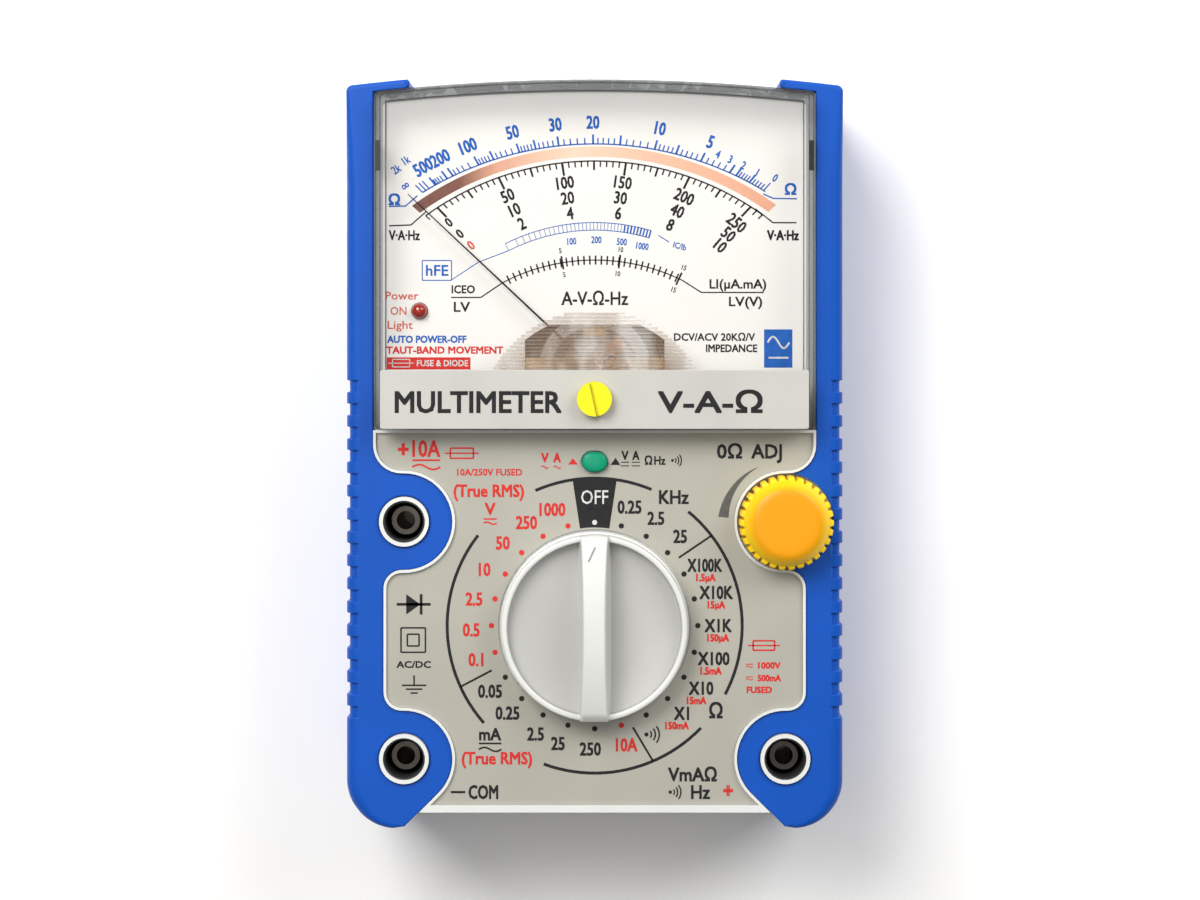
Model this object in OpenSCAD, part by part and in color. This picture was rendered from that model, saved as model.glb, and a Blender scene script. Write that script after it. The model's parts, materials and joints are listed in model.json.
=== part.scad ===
// Analog multimeter in a rubber boot, lying on its back.
// +Z is the front face's normal, +Y the dial end, +X the right hand side. Millimetres.

/* [Rubber boot] */
// Width over the boot
body_w = 110; // [109.6:0.1:111]
// Thickness of the boot's back
boot_back_t = 2.4; // [2.2:0.1:2.6]
// Thickness of the boot's front rim
boot_rim_t = 2; // [1.8:0.1:2.2]
// Height of the two tabs over the dial end
tab_t = 2.1; // [1.8:0.1:2.6]
// Distance between the two tabs
tab_gap = 82; // [78:1:86]
// Radius of the boot's round wings around the sockets
wing_r = 10.7; // [10.5:0.1:10.9]
// Grip notches on each side
grip_count = 15; // [11:1:15]
// Distance from notch to notch
grip_pitch = 5.15; // [5:0.05:5.2]
// Depth of a grip notch
grip_depth = 0.65; // [0.4:0.05:0.9]

/* [Case] */
// Width of the plastic case
case_w = 105.2; // [105:0.1:105.4]
// Top of the arched dial end, above the middle
crown_y = 82.65; // [82.4:0.05:83]
// Radius of the arched dial end
crown_r = 450; // [420:10:480]
// Lower end of the case
case_foot_y = -79.9; // [-80.1:0.1:-79.7]
// Height of the joint between the two shells
split_z = 20; // [19:0.5:20.5]
// Height of the ledge under the boot's rim
ledge_z = 38; // [38:0.5:40]
// Wall thickness of the shells
wall_t = 2.2; // [2:0.1:2.4]
// Width of the raised lip round the printed panel
lip_t = 0.6; // [0.5:0.1:0.9]

/* [Sockets] */
// Distance of the sockets and the ohm knob from the middle line
jack_x = 42.1; // [42:0.1:42.3]
// Place of the 10 A socket and the ohm knob along the meter
jack_high_y = -15; // [-15.2:0.1:-14.8]
// Place of the two lower sockets along the meter
jack_low_y = -67.4; // [-67.6:0.1:-67.2]
// Bore radius of a socket, for a 4 mm plug
jack_bore_r = 2.05; // [2.02:0.01:2.1]
// Depth of that bore
jack_bore_l = 20.2; // [19.2:0.2:20.4]

/* [Selector] */
// Place of the selector along the meter
selector_y = -38; // [-38.5:0.1:-37.5]
// Radius of the selector's skirt
selector_r = 20.8; // [20.4:0.1:21]
// Switch positions in a full turn
selector_steps = 24; // [24:1:24]

/* [Movement] */
// Place of the pointer's pivot along the meter
pivot_y = 18.6; // [18.5:0.1:18.7]
// Length of the pointer from its pivot
pointer_l = 56.7; // [54:0.1:57]
// Pointer's angle at rest, to the left of straight up
rest_a = 46.8; // [46.8:0.1:47]
// Place of the zero adjuster along the meter
adjuster_y = 12.2; // [12.1:0.1:12.3]
// Throw of the zero adjuster's pin
adjuster_throw = 1.2; // [1.1:0.05:1.25]

/* [Ohm knob] */
// Radius over the ohm knob's teeth
ohm_r = 10.3; // [10:0.1:10.4]
// Teeth on the ohm knob
ohm_teeth = 30; // [24:1:36]

/* [Stand and batteries] */
// Width of the tilt stand
stand_w = 56; // [50:1:56]
// Reach of the stand from its pin
stand_l = 69; // [60:1:69]
// Radius of the stand's pin
stand_pin_r = 1.2; // [1.1:0.05:1.2]
// Radius of an AA cell
cell_r = 7.1; // [7:0.05:7.15]

/* [Hidden] */
$fn = 64;
eps = 1;
fit = 0.05;

// Heights of the front, from the ledge
rim_z = ledge_z + boot_rim_t;
label_z = ledge_z + 1.4;
lip_z = ledge_z + 2.6;
collar_z = ledge_z + 2.8;
face_z = ledge_z - 2;
dial_z = ledge_z - 1.6;
dial_floor_z = ledge_z - 3.6;
flange_z = ledge_z + 3;
glass_z = ledge_z + 7.8;
strip_z = glass_z + 0.4;
glass_t = 1.8;
label_t = 0.5;
pcb_z = ledge_z - 16;
pcb_t = 1.6;
pcb_top_z = pcb_z + pcb_t;
frame_z = ledge_z - 14.1;

// Outline
case_x = case_w / 2;
body_x = body_w / 2;
corner_r = 1.5;
foot_c = [44.4, -71.7];
foot_r = foot_c[1] - case_foot_y;
glass_x = 48.5;
glass_foot_y = 5.4;
window_x = 48.9;
waist_x = 46.6;
panel_top_y = 5.2;
panel_foot_y = -79.2;
neck_r = 6.2;
neck_x = window_x - neck_r;
hip_r = 4;
hip_x = waist_x - hip_r;
high_c = [jack_x, jack_high_y];
low_c = [jack_x, jack_low_y];
neck_a = acos((neck_x - jack_x) / (wing_r + neck_r));
hip_a = acos((hip_x - jack_x) / (wing_r + hip_r));
neck_c = high_c + (wing_r + neck_r) * [cos(neck_a), sin(neck_a)];
hip_c = high_c + (wing_r + hip_r) * [cos(hip_a), -sin(hip_a)];
heel_c = low_c + (wing_r + hip_r) * [cos(hip_a), sin(hip_a)];

// Sockets, knobs and inner fixings
ten_amp_c = [-jack_x, jack_high_y];
com_c = [-jack_x, jack_low_y];
vma_c = low_c;
ohm_c = high_c;
selector_c = [0, selector_y];
button_c = [0, -1.8];
pivot_c = [0, pivot_y];
adjuster_c = [0, adjuster_y];
led_c = [-38.9, 31.6];
case_screw_c = [for (x = [-36.5, 36.5], y = [-58, 5]) [x, y]];
pcb_screw_c = [[-30, -3], [30, -3], [-24, -74], [24, -74]];
dial_screw_c = [[-40, 12], [40, 12]];
movement_hole = [[-15.5, 7.4], [15.5, 31]];
collar_r = 5.5;
jack_r = 4.6;
contact_r = 3.15;
button_r = 2.225;
button_half = 0.625;
hub_r = 6;
spigot_r = 2.8;
ohm_shaft_r = 3;
knob_bay_r = wing_r + 0.05;

// Window cover, opening in the dial, and wider lip at the foot
lens_step = 1.3;
lens_wall_t = 1.1;
latch_t = 1.15;
dial_hole_r = 24.6;
dial_hole_y = 6;
foot_lip = 1;

// Back of the meter
pocket_x = stand_w / 2 + 0.6;
pocket_y = [-66, 14.6];
pocket_z = boot_back_t + 4.5;
pocket_t = 1.6;
hinge_c = [11, 4.4];
hinge_x = 33.5;
bay_x = 36;
bay_y = [17, 73];
bay_z = 22.2;
bay_t = 1.2;
bay_screw_c = [0, 45];

// ---- Outline functions: each gives the right half, from the dial end to the foot ----

function arc(c, r, a0, a1, n) = [for (i = [0:n]) let (a = a0 + (a1 - a0) * i / n) c + r * [cos(a), sin(a)]];
function crown(x) = crown_y - crown_r + sqrt(crown_r * crown_r - x * x);
function crown_pts(x0, x1, lift, n) = [for (i = [0:n]) let (x = x0 + (x1 - x0) * i / n) [x, crown(x) + lift]];
function mirrored(half) = concat(half, [for (i = [len(half) - 1:-1:0]) [-half[i][0], half[i][1]]]);
function foot_x(d, y) = let (p = low_c + (wing_r + d) * [cos(225), sin(225)]) p[0] + p[1] - y;

// Wavy edge between the blue boot and the grey panel, set inwards by d
function wavy_half(d) = concat(
    arc(neck_c, neck_r - d, 0, neck_a - 180, 8),
    arc(high_c, wing_r + d, neck_a, 360 - hip_a, 24),
    arc(hip_c, hip_r - d, 180 - hip_a, 0, 8),
    arc(heel_c, hip_r - d, 0, hip_a - 180, 8),
    arc(low_c, wing_r + d, hip_a, 225, 20));
function case_pts(d) = let (x = case_x - d - corner_r) mirrored(concat(
    crown_pts(0, x, -d, 12),
    arc([x, crown(x) - d - corner_r], corner_r, 90, 0, 4),
    arc(foot_c, foot_r - d, 0, -90, 8)));
function boot_pts() = let (x = body_x - corner_r, tab_x = tab_gap / 2, low_y = -crown(tab_x) - tab_t, r = body_x - foot_c[0])
    mirrored(concat(
        crown_pts(0, tab_x, 0, 10),
        crown_pts(tab_x, x, tab_t, 4),
        arc([x, crown(x) + tab_t - corner_r], corner_r, 90, 0, 4),
        arc([foot_c[0], low_y + r], r, 0, -90, 10),
        [[foot_x(0, low_y), low_y], [foot_x(0, case_foot_y) + 0.6, case_foot_y - 0.6],
            [foot_x(0, case_foot_y) + 0.6, case_foot_y]]));
function window_pts(d) = mirrored(concat(
    crown_pts(0, window_x - d, -d, 12),
    wavy_half(d),
    [[foot_x(d, case_foot_y + d), case_foot_y + d]]));
function panel_pts(d, foot_d) = mirrored(concat(
    [[window_x - d, panel_top_y - d]],
    wavy_half(d),
    [[foot_x(d, panel_foot_y + foot_d), panel_foot_y + foot_d]]));
function glass_pts(x, top_d, foot_y) = mirrored(concat(crown_pts(0, x, -top_d, 12), [[x, foot_y]]));

// ---- Building blocks ----

module block(lo, hi) translate(lo) cube(hi - lo);
module rod(c, z0, z1, r) translate([c[0], c[1], z0]) cylinder(r = r, h = z1 - z0);
module slice(z0, z1) translate([0, 0, z0]) linear_extrude(z1 - z0) children();
module ring(c, z0, z1, r_out, r_in) difference() {
    rod(c, z0, z1, r_out);
    rod(c, z0 - eps, z1 + eps, r_in);
}
module cross_rod(x0, x1, y, z, r) translate([x0, y, z]) rotate([0, 90, 0]) cylinder(r = r, h = x1 - x0);
module long_rod(x, y0, y1, z, r) translate([x, y0, z]) rotate([-90, 0, 0]) cylinder(r = r, h = y1 - y0);
module at_pivot(a) translate([0, pivot_y, 0]) rotate([0, 0, a]) children();
// Screw with its head at the back and its point towards the front
module screw(c, head_z, head_h, head_r, shank_z, shank_r) difference() {
    union() {
        rod(c, head_z, head_z + head_h, head_r);
        rod(c, head_z + head_h, shank_z, shank_r);
    }
    for (a = [0, 90])
        translate([c[0], c[1], head_z + head_h / 4 - eps]) rotate([0, 0, a + 20])
            translate([-head_r * 0.6, -0.35, 0]) cube([head_r * 1.2, 0.7, eps]);
}
module button_oval(z0, z1, grow) {
    for (s = [-1, 1])
        rod(button_c + [s * button_half, 0], z0, z1, button_r + grow);
    block([-button_half, button_c[1] - button_r - grow, z0], [button_half, button_c[1] + button_r + grow, z1]);
}

// ---- Boot and shells ----

module grip_notches() {
    notch_w = 2.55;
    first_y = 14.9;
    foot_z = 6;
    wrap = 2.6;
    for (s = [-1, 1], i = [0:grip_count - 1]) {
        y = first_y - i * grip_pitch;
        x = s * body_x;
        block([min(x, x - s * grip_depth) - (s < 0 ? eps : 0), y - notch_w / 2, foot_z],
            [max(x, x - s * grip_depth) + (s > 0 ? eps : 0), y + notch_w / 2, rim_z + eps]);
        block([min(x, x - s * wrap) - (s < 0 ? eps : 0), y - notch_w / 2, rim_z - grip_depth],
            [max(x, x - s * wrap) + (s > 0 ? eps : 0), y + notch_w / 2, rim_z + eps]);
    }
}
module rear_window() {
    half = 40;
    r = 6;
    y = [-72, 74];
    block([-half, y[0] + r, -eps], [half, y[1] - r, boot_back_t + eps]);
    block([-half + r, y[0], -eps], [half - r, y[1], boot_back_t + eps]);
    for (s = [-1, 1], cy = [y[0] + r, y[1] - r])
        rod([s * (half - r), cy], -eps, boot_back_t + eps, r);
}
module holster() color("royalblue") difference() {
    slice(0, rim_z) polygon(boot_pts());
    slice(boot_back_t, ledge_z) polygon(case_pts(-fit));
    slice(ledge_z - eps, rim_z + eps) polygon(window_pts(-fit));
    rod(ohm_c, ledge_z - eps, rim_z + eps, knob_bay_r);
    for (c = [ten_amp_c, com_c, vma_c])
        rod(c, ledge_z - eps, rim_z + eps, collar_r + 0.15);
    rear_window();
    grip_notches();
}

module front_case() color("gainsboro") {
    boss_r = 3;
    difference() {
        union() {
            slice(split_z, ledge_z) polygon(case_pts(0));
            slice(ledge_z, lip_z) polygon(panel_pts(0, 0));
            for (c = [ten_amp_c, com_c, vma_c])
                rod(c, ledge_z, collar_z, collar_r);
        }
        difference() {
            slice(split_z - eps, face_z) polygon(case_pts(wall_t));
            block([-case_x, 3, dial_floor_z], [case_x, crown_y, face_z + eps]);
        }
        slice(label_z, lip_z + eps) polygon(panel_pts(lip_t, lip_t + foot_lip));
        slice(dial_z, ledge_z + eps) polygon(glass_pts(46.5, 2, 7.2));
        block([movement_hole[0][0], movement_hole[0][1], dial_floor_z - eps],
            [movement_hole[1][0], movement_hole[1][1], dial_z + eps]);
        for (c = [ten_amp_c, com_c, vma_c])
            rod(c, face_z - eps, collar_z + eps, jack_r + fit);
        rod(ohm_c, face_z - eps, ledge_z + eps, ohm_shaft_r + 0.08);
        rod(selector_c, face_z - eps, lip_z, hub_r + 0.08);
        rod(led_c, dial_floor_z - eps, dial_z + eps, 1.9);
        button_oval(face_z - eps, lip_z, 0.1);
    }
    for (c = case_screw_c)
        difference() {
            rod(c, split_z, face_z, boss_r);
            rod(c, split_z - eps, split_z + 11, 1.32);
        }
    for (c = pcb_screw_c)
        difference() {
            rod(c, pcb_top_z, face_z, 2.6);
            rod(c, pcb_top_z - eps, pcb_top_z + 8, 1.12);
        }
}

module rear_case() color("silver") {
    boss_r = 4.2;
    floor_z = boot_back_t + 2;
    head_z = boot_back_t + 2.4;
    ledge_x = 33;
    difference() {
        union() {
            difference() {
                slice(boot_back_t, split_z) polygon(case_pts(0));
                slice(floor_z, split_z + eps) polygon(case_pts(wall_t));
            }
            block([-pocket_x - pocket_t, pocket_y[0] - pocket_t, boot_back_t],
                [pocket_x + pocket_t, bay_y[0] - bay_t / 2, pocket_z + pocket_t]);
            for (s = [-1, 1])
                block([min(s * pocket_x, s * hinge_x), 7.5, boot_back_t],
                    [max(s * pocket_x, s * hinge_x), 14.5, pocket_z + pocket_t]);
            block([-bay_x - bay_t, bay_y[0] - bay_t, boot_back_t], [bay_x + bay_t, bay_y[1] + bay_t, bay_z + 1]);
            for (c = case_screw_c)
                rod(c, boot_back_t, split_z, boss_r);
        }
        block([-pocket_x, pocket_y[0], boot_back_t - eps], [pocket_x, pocket_y[1], pocket_z]);
        block([-bay_x, bay_y[0], boot_back_t - eps], [bay_x, bay_y[1], bay_z]);
        cross_rod(-hinge_x + 0.9, hinge_x - 0.9, hinge_c[0], hinge_c[1], stand_pin_r + 0.02);
        for (c = case_screw_c) {
            rod(c, boot_back_t - eps, head_z, 2.8);
            rod(c, boot_back_t, split_z + eps, 1.5);
        }
    }
    for (s = [-1, 1])
        block([min(s * ledge_x, s * bay_x), bay_y[0], 4.5], [max(s * ledge_x, s * bay_x), bay_y[1], 5.5]);
    difference() {
        rod(bay_screw_c, pocket_z, bay_z, 3.2);
        rod(bay_screw_c, pocket_z - eps, 15, 1.5);
    }
}

module case_screws() color("dimgray")
    for (c = case_screw_c)
        screw(c, boot_back_t + 0.4, 2, 2.6, split_z + 10, 1.3);

module panel_label() color("lightgray") difference() {
    slice(label_z, label_z + label_t) polygon(panel_pts(lip_t + fit, lip_t + foot_lip + fit));
    rod(selector_c, label_z - eps, lip_z, selector_r + 0.5);
    button_oval(label_z - eps, lip_z, 0.3);
}

// ---- Dial window ----

module meter_lens() color([0.9, 0.93, 0.95, 0.35]) difference() {
    union() {
        slice(ledge_z, flange_z) polygon(glass_pts(glass_x, 0, glass_foot_y));
        slice(flange_z, glass_z) polygon(glass_pts(glass_x - lens_step, 0.9, glass_foot_y));
    }
    slice(ledge_z - eps, glass_z - glass_t)
        polygon(glass_pts(glass_x - lens_step - lens_wall_t, 2.2, glass_foot_y + glass_t));
    rod(adjuster_c, glass_z - glass_t - eps, glass_z + eps, 2.25);
}
module lens_latches() color("black")
    for (x = [-glass_x + 0.1, glass_x - 0.1 - latch_t])
        block([x, 62.5, flange_z], [x + latch_t, 69.1, flange_z + 1]);
module name_strip() color("silver") difference() {
    block([-glass_x + 1.6, glass_foot_y + 0.2, glass_z], [glass_x - 1.6, 18.5, strip_z]);
    rod(adjuster_c, glass_z - eps, strip_z + eps, 2.4);
}
module dial_plate() color("white") difference() {
    slice(dial_z, dial_z + 0.8) polygon(glass_pts(46.3, 2.2, 7.4));
    intersection() {
        block([movement_hole[0][0], dial_hole_y, dial_z - eps], [movement_hole[1][0], 28.5, dial_z + 2]);
        rod([0, dial_hole_y], dial_z - eps, dial_z + 2, dial_hole_r);
    }
    rod(led_c, dial_z - eps, dial_z + 2, 1.9);
    for (c = dial_screw_c)
        rod(c, dial_z - eps, dial_z + 2, 1.05);
}
module dial_screws() color("silver")
    for (c = dial_screw_c)
        difference() {
            union() {
                rod(c, dial_z, dial_z + 0.8, 1);
                rod(c, dial_z + 0.8, dial_z + 1.8, 2);
            }
            block([c[0] - 2.1, c[1] - 0.3, dial_z + 1.3], [c[0] + 2.1, c[1] + 0.3, dial_z + 2]);
        }
module power_led() color("darkred") {
    r = 1.75;
    rod(led_c, dial_floor_z - 1, dial_floor_z, 2.3);
    rod(led_c, dial_floor_z, dial_z + 1.25, r);
    translate([led_c[0], led_c[1], dial_z + 1.25]) sphere(r = r);
}

// ---- Taut-band movement ----

yoke_z = frame_z + 2.5;
yoke_top_z = yoke_z + 7.6;
core_z = [frame_z + 3.7, frame_z + 8.9];
pointer_z = ledge_z + 1;
bridge_z = ledge_z + 2.4;
lever_z = ledge_z + 3.5;
yoke_in_r = 9.6;
magnet_r = 7.4;
needle_tail = 5;
needle_half = 0.24;

module movement_frame() color("dimgray") difference() {
    union() {
        block([-20.5, 6.6, frame_z], [20.5, 33, frame_z + 1.3]);
        rod(pivot_c, frame_z, yoke_z, 12.4);
        for (x = [-18.2, 18.2], y = [9, 30])
            rod([x, y], frame_z, dial_floor_z, 2);
    }
    rod(pivot_c, frame_z + 1.3, yoke_z + eps, 10);
    rod(pivot_c, frame_z - eps, yoke_z, 1);
}
module yoke_ring() color("gray") ring(pivot_c, yoke_z, yoke_top_z, 12.5, yoke_in_r);
module core_magnet() color("darkgray") ring(pivot_c, core_z[0], core_z[1], magnet_r, 1);
// Two short arms that hold the magnet in the yoke
module core_supports() color("goldenrod") difference() {
    half_w = 2.5;
    z = [core_z[0] + 0.9, core_z[1] - 0.8];
    intersection() {
        block([-half_w, pivot_y - yoke_in_r, z[0]], [half_w, pivot_y + yoke_in_r, z[1]]);
        rod(pivot_c, z[0], z[1], yoke_in_r);
    }
    rod(pivot_c, core_z[0], core_z[1], magnet_r);
}
module pointer_stops() color("silver")
    for (a = [rest_a + 4, rest_a - 96])
        at_pivot(a) rod([0, 11], yoke_top_z, pointer_z + 0.9, 0.5);
module upper_bridge() color("darkgoldenrod") difference() {
    leg_x = [14.2, 15.2];
    half_y = 2.6;
    union() {
        block([-leg_x[1], pivot_y - half_y, bridge_z], [leg_x[1], pivot_y + half_y, bridge_z + 0.8]);
        for (s = [-1, 1])
            block([min(s * leg_x[0], s * leg_x[1]), pivot_y - half_y, frame_z + 1.3],
                [max(s * leg_x[0], s * leg_x[1]), pivot_y + half_y, bridge_z]);
        rod(pivot_c, bridge_z, lever_z + 0.55, 0.95);
    }
    rod(pivot_c, bridge_z - eps, lever_z + eps, 0.4);
}
module lower_tension_spring() color("peru")
    block([-6, pivot_y - 0.7, frame_z - 0.45], [2, pivot_y + 0.7, frame_z - 0.2]);
module upper_tension_spring() color("peru")
    block([-2, pivot_y - 0.6, lever_z + 0.65], [5, pivot_y + 0.6, lever_z + 0.9]);
module taut_bands() color("gold") {
    rod(pivot_c, frame_z - 0.2, frame_z + 2.3, 0.12);
    rod(pivot_c, pointer_z + 0.6, lever_z + 0.65, 0.12);
}
module zero_lever() color("peru") difference() {
    lever_t = 0.6;
    slot = 0.75;
    reach = 9;
    union() {
        rod(pivot_c, lever_z, lever_z + lever_t, 3);
        block([-1.9, pivot_y - reach, lever_z], [1.9, pivot_y, lever_z + lever_t]);
    }
    rod(pivot_c, lever_z - eps, lever_z + eps, 1);
    block([-slot, pivot_y - reach - eps, lever_z - eps], [slot, pivot_y - 5.6, lever_z + eps]);
}
module zero_adjuster() color("yellow") difference() {
    head_z = strip_z + 0.2;
    union() {
        rod(adjuster_c - [0, adjuster_throw], lever_z - 0.1, glass_z - 2.6, 0.6);
        rod(adjuster_c, glass_z - 2.6, glass_z - 2, 3);
        rod(adjuster_c, glass_z - 2, head_z, 2.2);
        rod(adjuster_c, head_z, head_z + 2, 3.8);
    }
    translate([0, adjuster_y, head_z + 1]) rotate([0, 0, 12.6])
        translate([-0.4, -5, 0]) cube([0.8, 10, 2]);
}

// Square loop of the moving coil, between two half widths
module coil_loop(x_out, x_in) at_pivot(rest_a) difference() {
    depth = 1.5;
    flatter = 4.95;
    z_mid = (core_z[0] + core_z[1]) / 2;
    block([-x_out, -depth, z_mid - x_out + flatter], [x_out, depth, z_mid + x_out - flatter]);
    block([-x_in, -depth - eps, z_mid - x_in + flatter], [x_in, depth + eps, z_mid + x_in - flatter]);
}
module coil_former() color("silver") coil_loop(8.3, 8);
module coil_winding() color("chocolate") coil_loop(9, 8.3);
module pointer_hub() color("silver") at_pivot(rest_a) rod([0, 0], yoke_top_z + 0.25, pointer_z + 0.6, 1.6);
module pointer_needle() color("black") at_pivot(rest_a) slice(pointer_z, pointer_z + 0.5) difference() {
    polygon([[needle_half, -needle_tail], [needle_half, 0], [0.16, pointer_l - 14], [0.1, pointer_l],
        [-0.1, pointer_l], [-0.16, pointer_l - 14], [-needle_half, 0], [-needle_half, -needle_tail]]);
    circle(r = 1.6);
}
module balance_weights() color("silver") at_pivot(rest_a) {
    long_rod(0, -needle_tail - 2.6, -needle_tail, pointer_z + 0.25, 0.8);
    for (s = [-1, 1]) {
        cross_rod(min(s * 1.6, s * 5), max(s * 1.6, s * 5), 0, pointer_z + 0.25, 0.25);
        cross_rod(s * 4.4 - 0.6, s * 4.4 + 0.6, 0, pointer_z + 0.25, 0.7);
    }
}

// ---- Selector switch ----

rotor_z = ledge_z - 11;
knob_z = label_z + 0.3;

module selector_knob() color("silver") difference() {
    rim_top_z = knob_z + 6.7;
    floor_z = knob_z + 3.3;
    top_z = knob_z + 12.3;
    crown_bar_r = 60;
    union() {
        rod(selector_c, knob_z, knob_z + 1.6, selector_r);
        difference() {
            rod(selector_c, knob_z, rim_top_z, selector_r - 0.4);
            rod(selector_c, floor_z, rim_top_z + eps, selector_r - 1.65);
        }
        intersection() {
            rod(selector_c, floor_z - eps, top_z, selector_r - 0.5);
            translate([0, selector_y + 21, 0]) rotate([90, 0, 0]) linear_extrude(42)
                polygon([[-3.7, floor_z - eps], [3.7, floor_z - eps], [2.5, top_z], [-2.5, top_z]]);
            cross_rod(-5, 5, selector_y, top_z - crown_bar_r, crown_bar_r);
        }
    }
    rod(selector_c, knob_z - eps, knob_z + 4.5, spigot_r + fit);
}
module switch_rotor() color("ivory") {
    rod(selector_c, rotor_z, rotor_z + 2.5, 17);
    rod(selector_c, rotor_z + 2.5, label_z + 0.1, hub_r);
    rod(selector_c, label_z + 0.1, label_z + 4.6, spigot_r);
}
module switch_wipers() color("gold")
    for (a = [20, 140, 260], r = [8, 12])
        translate([0, selector_y, 0]) rotate([0, 0, a]) {
            block([r, -4, rotor_z - 0.35], [r + 2.2, 4, rotor_z]);
            for (s = [-1, 1])
                block([r, s * 3.5 - 0.5, pcb_top_z + 0.15], [r + 2.2, s * 3.5 + 0.5, rotor_z - 0.35]);
        }
module detent_plungers() color("lightsteelblue")
    for (s = [-1, 1]) {
        c = selector_c + [0, s * 14];
        rod(c, rotor_z + 2.5, rotor_z + 5.1, 1.5);
        translate([c[0], c[1], rotor_z + 5.1]) sphere(r = 1.5);
    }
module detent_ring() color("white") difference() {
    ring(selector_c, face_z - 2.2, face_z, 16, 12);
    for (i = [0:selector_steps - 1])
        translate([0, selector_y, face_z - 2.8]) rotate([0, 0, 90 + i * 360 / selector_steps])
            translate([11, -0.8, 0]) cube([6, 1.6, 1.2]);
}

// ---- Circuit board ----

module main_pcb() color("darkgreen") difference() {
    intersection() {
        slice(pcb_z, pcb_top_z) polygon(case_pts(wall_t + 0.8));
        block([-48, -80, pcb_z - eps], [48, 1, pcb_top_z + eps]);
    }
    for (c = [ten_amp_c, com_c, vma_c])
        rod(c, pcb_z - eps, pcb_top_z + eps, jack_r + 0.3);
    for (c = case_screw_c)
        rod(c, pcb_z - eps, pcb_top_z + eps, 3.5);
    for (c = pcb_screw_c)
        rod(c, pcb_z - eps, pcb_top_z + eps, 1.2);
}
module pcb_screws() color("silver")
    for (c = pcb_screw_c)
        screw(c, pcb_z - 1.6, 1.6, 2.2, pcb_z + 8, 1.1);
module resistors() color("tan")
    for (x = [-28, 28], i = [0:5]) {
        $fn = 20;
        y = -50 + i * 4.2;
        lead_x = 4.4;
        cross_rod(x - 3, x + 3, y, pcb_top_z + 1.4, 1.1);
        cross_rod(x - lead_x - 0.3, x + lead_x + 0.3, y, pcb_top_z + 1.4, 0.3);
        for (s = [-1, 1])
            rod([x + s * lead_x, y], pcb_top_z, pcb_top_z + 1.4, 0.3);
    }
module trimmer_pots() color("dodgerblue")
    for (x = [-12, 0, 12])
        difference() {
            union() {
                block([x - 3, -73, pcb_top_z], [x + 3, -67, pcb_top_z + 3.6]);
                rod([x, -70], pcb_top_z + 3.6, pcb_top_z + 4.4, 1.6);
            }
            block([x - 2, -70.3, pcb_top_z + 4], [x + 2, -69.7, pcb_top_z + 5]);
        }
module fuse_pair() for (y = [-50, -62]) translate([0, y, pcb_z - 5]) children();
module fuse_tubes() color("white") fuse_pair() cross_rod(-5, 5, 0, 0, 2.3);
module fuse_caps() color("silver") fuse_pair() for (x = [-10, 5]) cross_rod(x, x + 5, 0, 0, 2.6);
module fuse_clips() color("darkgoldenrod") fuse_pair()
    for (x = [-9, 6]) {
        for (s = [-1, 1])
            block([x, s * 2.95 - 0.3, -2.5], [x + 3, s * 2.95 + 0.3, 4.4]);
        block([x, -3.25, 4.4], [x + 3, 3.25, 5]);
    }
module shunt_bar() color("peru") {
    block([-31.5, -55, pcb_z - 5], [-28.5, -25, pcb_z - 4]);
    for (y = [-55, -28])
        block([-31.5, y, pcb_z - 4], [-28.5, y + 3, pcb_z]);
}
module buzzer() color("black") difference() {
    rod([22, -20], pcb_z - 6, pcb_z, 7);
    rod([22, -20], pcb_z - 7, pcb_z - 5, 1.2);
}

// ---- Sockets, ohm knob and push button ----

module jack_body(c) color("black") difference() {
    shoulder_z = 19.5;
    rod(c, 15.5, ledge_z + 2.2, jack_r);
    rod(c, shoulder_z, collar_z, jack_r - 0.4);
    rod(c, 15, shoulder_z + eps, contact_r + 0.02);
}
module jack_contact(c) color("silver") difference() {
    mouth_z = ledge_z - 2.8;
    rod(c, mouth_z - jack_bore_l - 2, mouth_z, contact_r);
    rod(c, mouth_z - jack_bore_l, mouth_z + eps, jack_bore_r);
}
module jack_body_10a() jack_body(ten_amp_c);
module jack_body_com() jack_body(com_c);
module jack_body_vma() jack_body(vma_c);
module jack_contact_10a() jack_contact(ten_amp_c);
module jack_contact_com() jack_contact(com_c);
module jack_contact_vma() jack_contact(vma_c);

// Points round the knob's teeth: for each tooth a broad tip and a narrow gap
function tooth_pts(r_tip, r_root, n) = [for (i = [0:n - 1], p = [[0.14, 1], [0.5, 1], [0.86, 1], [0.94, 0], [1.06, 0]])
    let (a = (i + p[0]) * 360 / n, r = p[1] ? r_tip : r_root) r * [cos(a), sin(a)]];
module ohm_knob() color("gold") difference() {
    skirt_z = ledge_z + 0.6;
    top_z = ledge_z + 11;
    flank_z = top_z - 3;
    root_r = ohm_r - 0.9;
    translate([ohm_c[0], ohm_c[1], 0]) {
        slice(skirt_z, flank_z) polygon(tooth_pts(ohm_r, root_r, ohm_teeth));
        translate([0, 0, flank_z]) cylinder(r1 = root_r, r2 = 8, h = top_z - flank_z);
    }
    rod(ohm_c, skirt_z - eps, top_z - 2.9, ohm_shaft_r + 0.03);
}
module ohm_pot() color("steelblue") difference() {
    union() {
        rod(ohm_c, pcb_top_z, pcb_top_z + 6, 7.4);
        rod(ohm_c, pcb_top_z + 6, face_z, 4.5);
    }
    rod(ohm_c, pcb_top_z + 1.4, face_z + eps, ohm_shaft_r + 0.08);
}
module ohm_pot_shaft() color("silver") rod(ohm_c, pcb_top_z + 1.6, ledge_z + 8, ohm_shaft_r);

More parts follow.
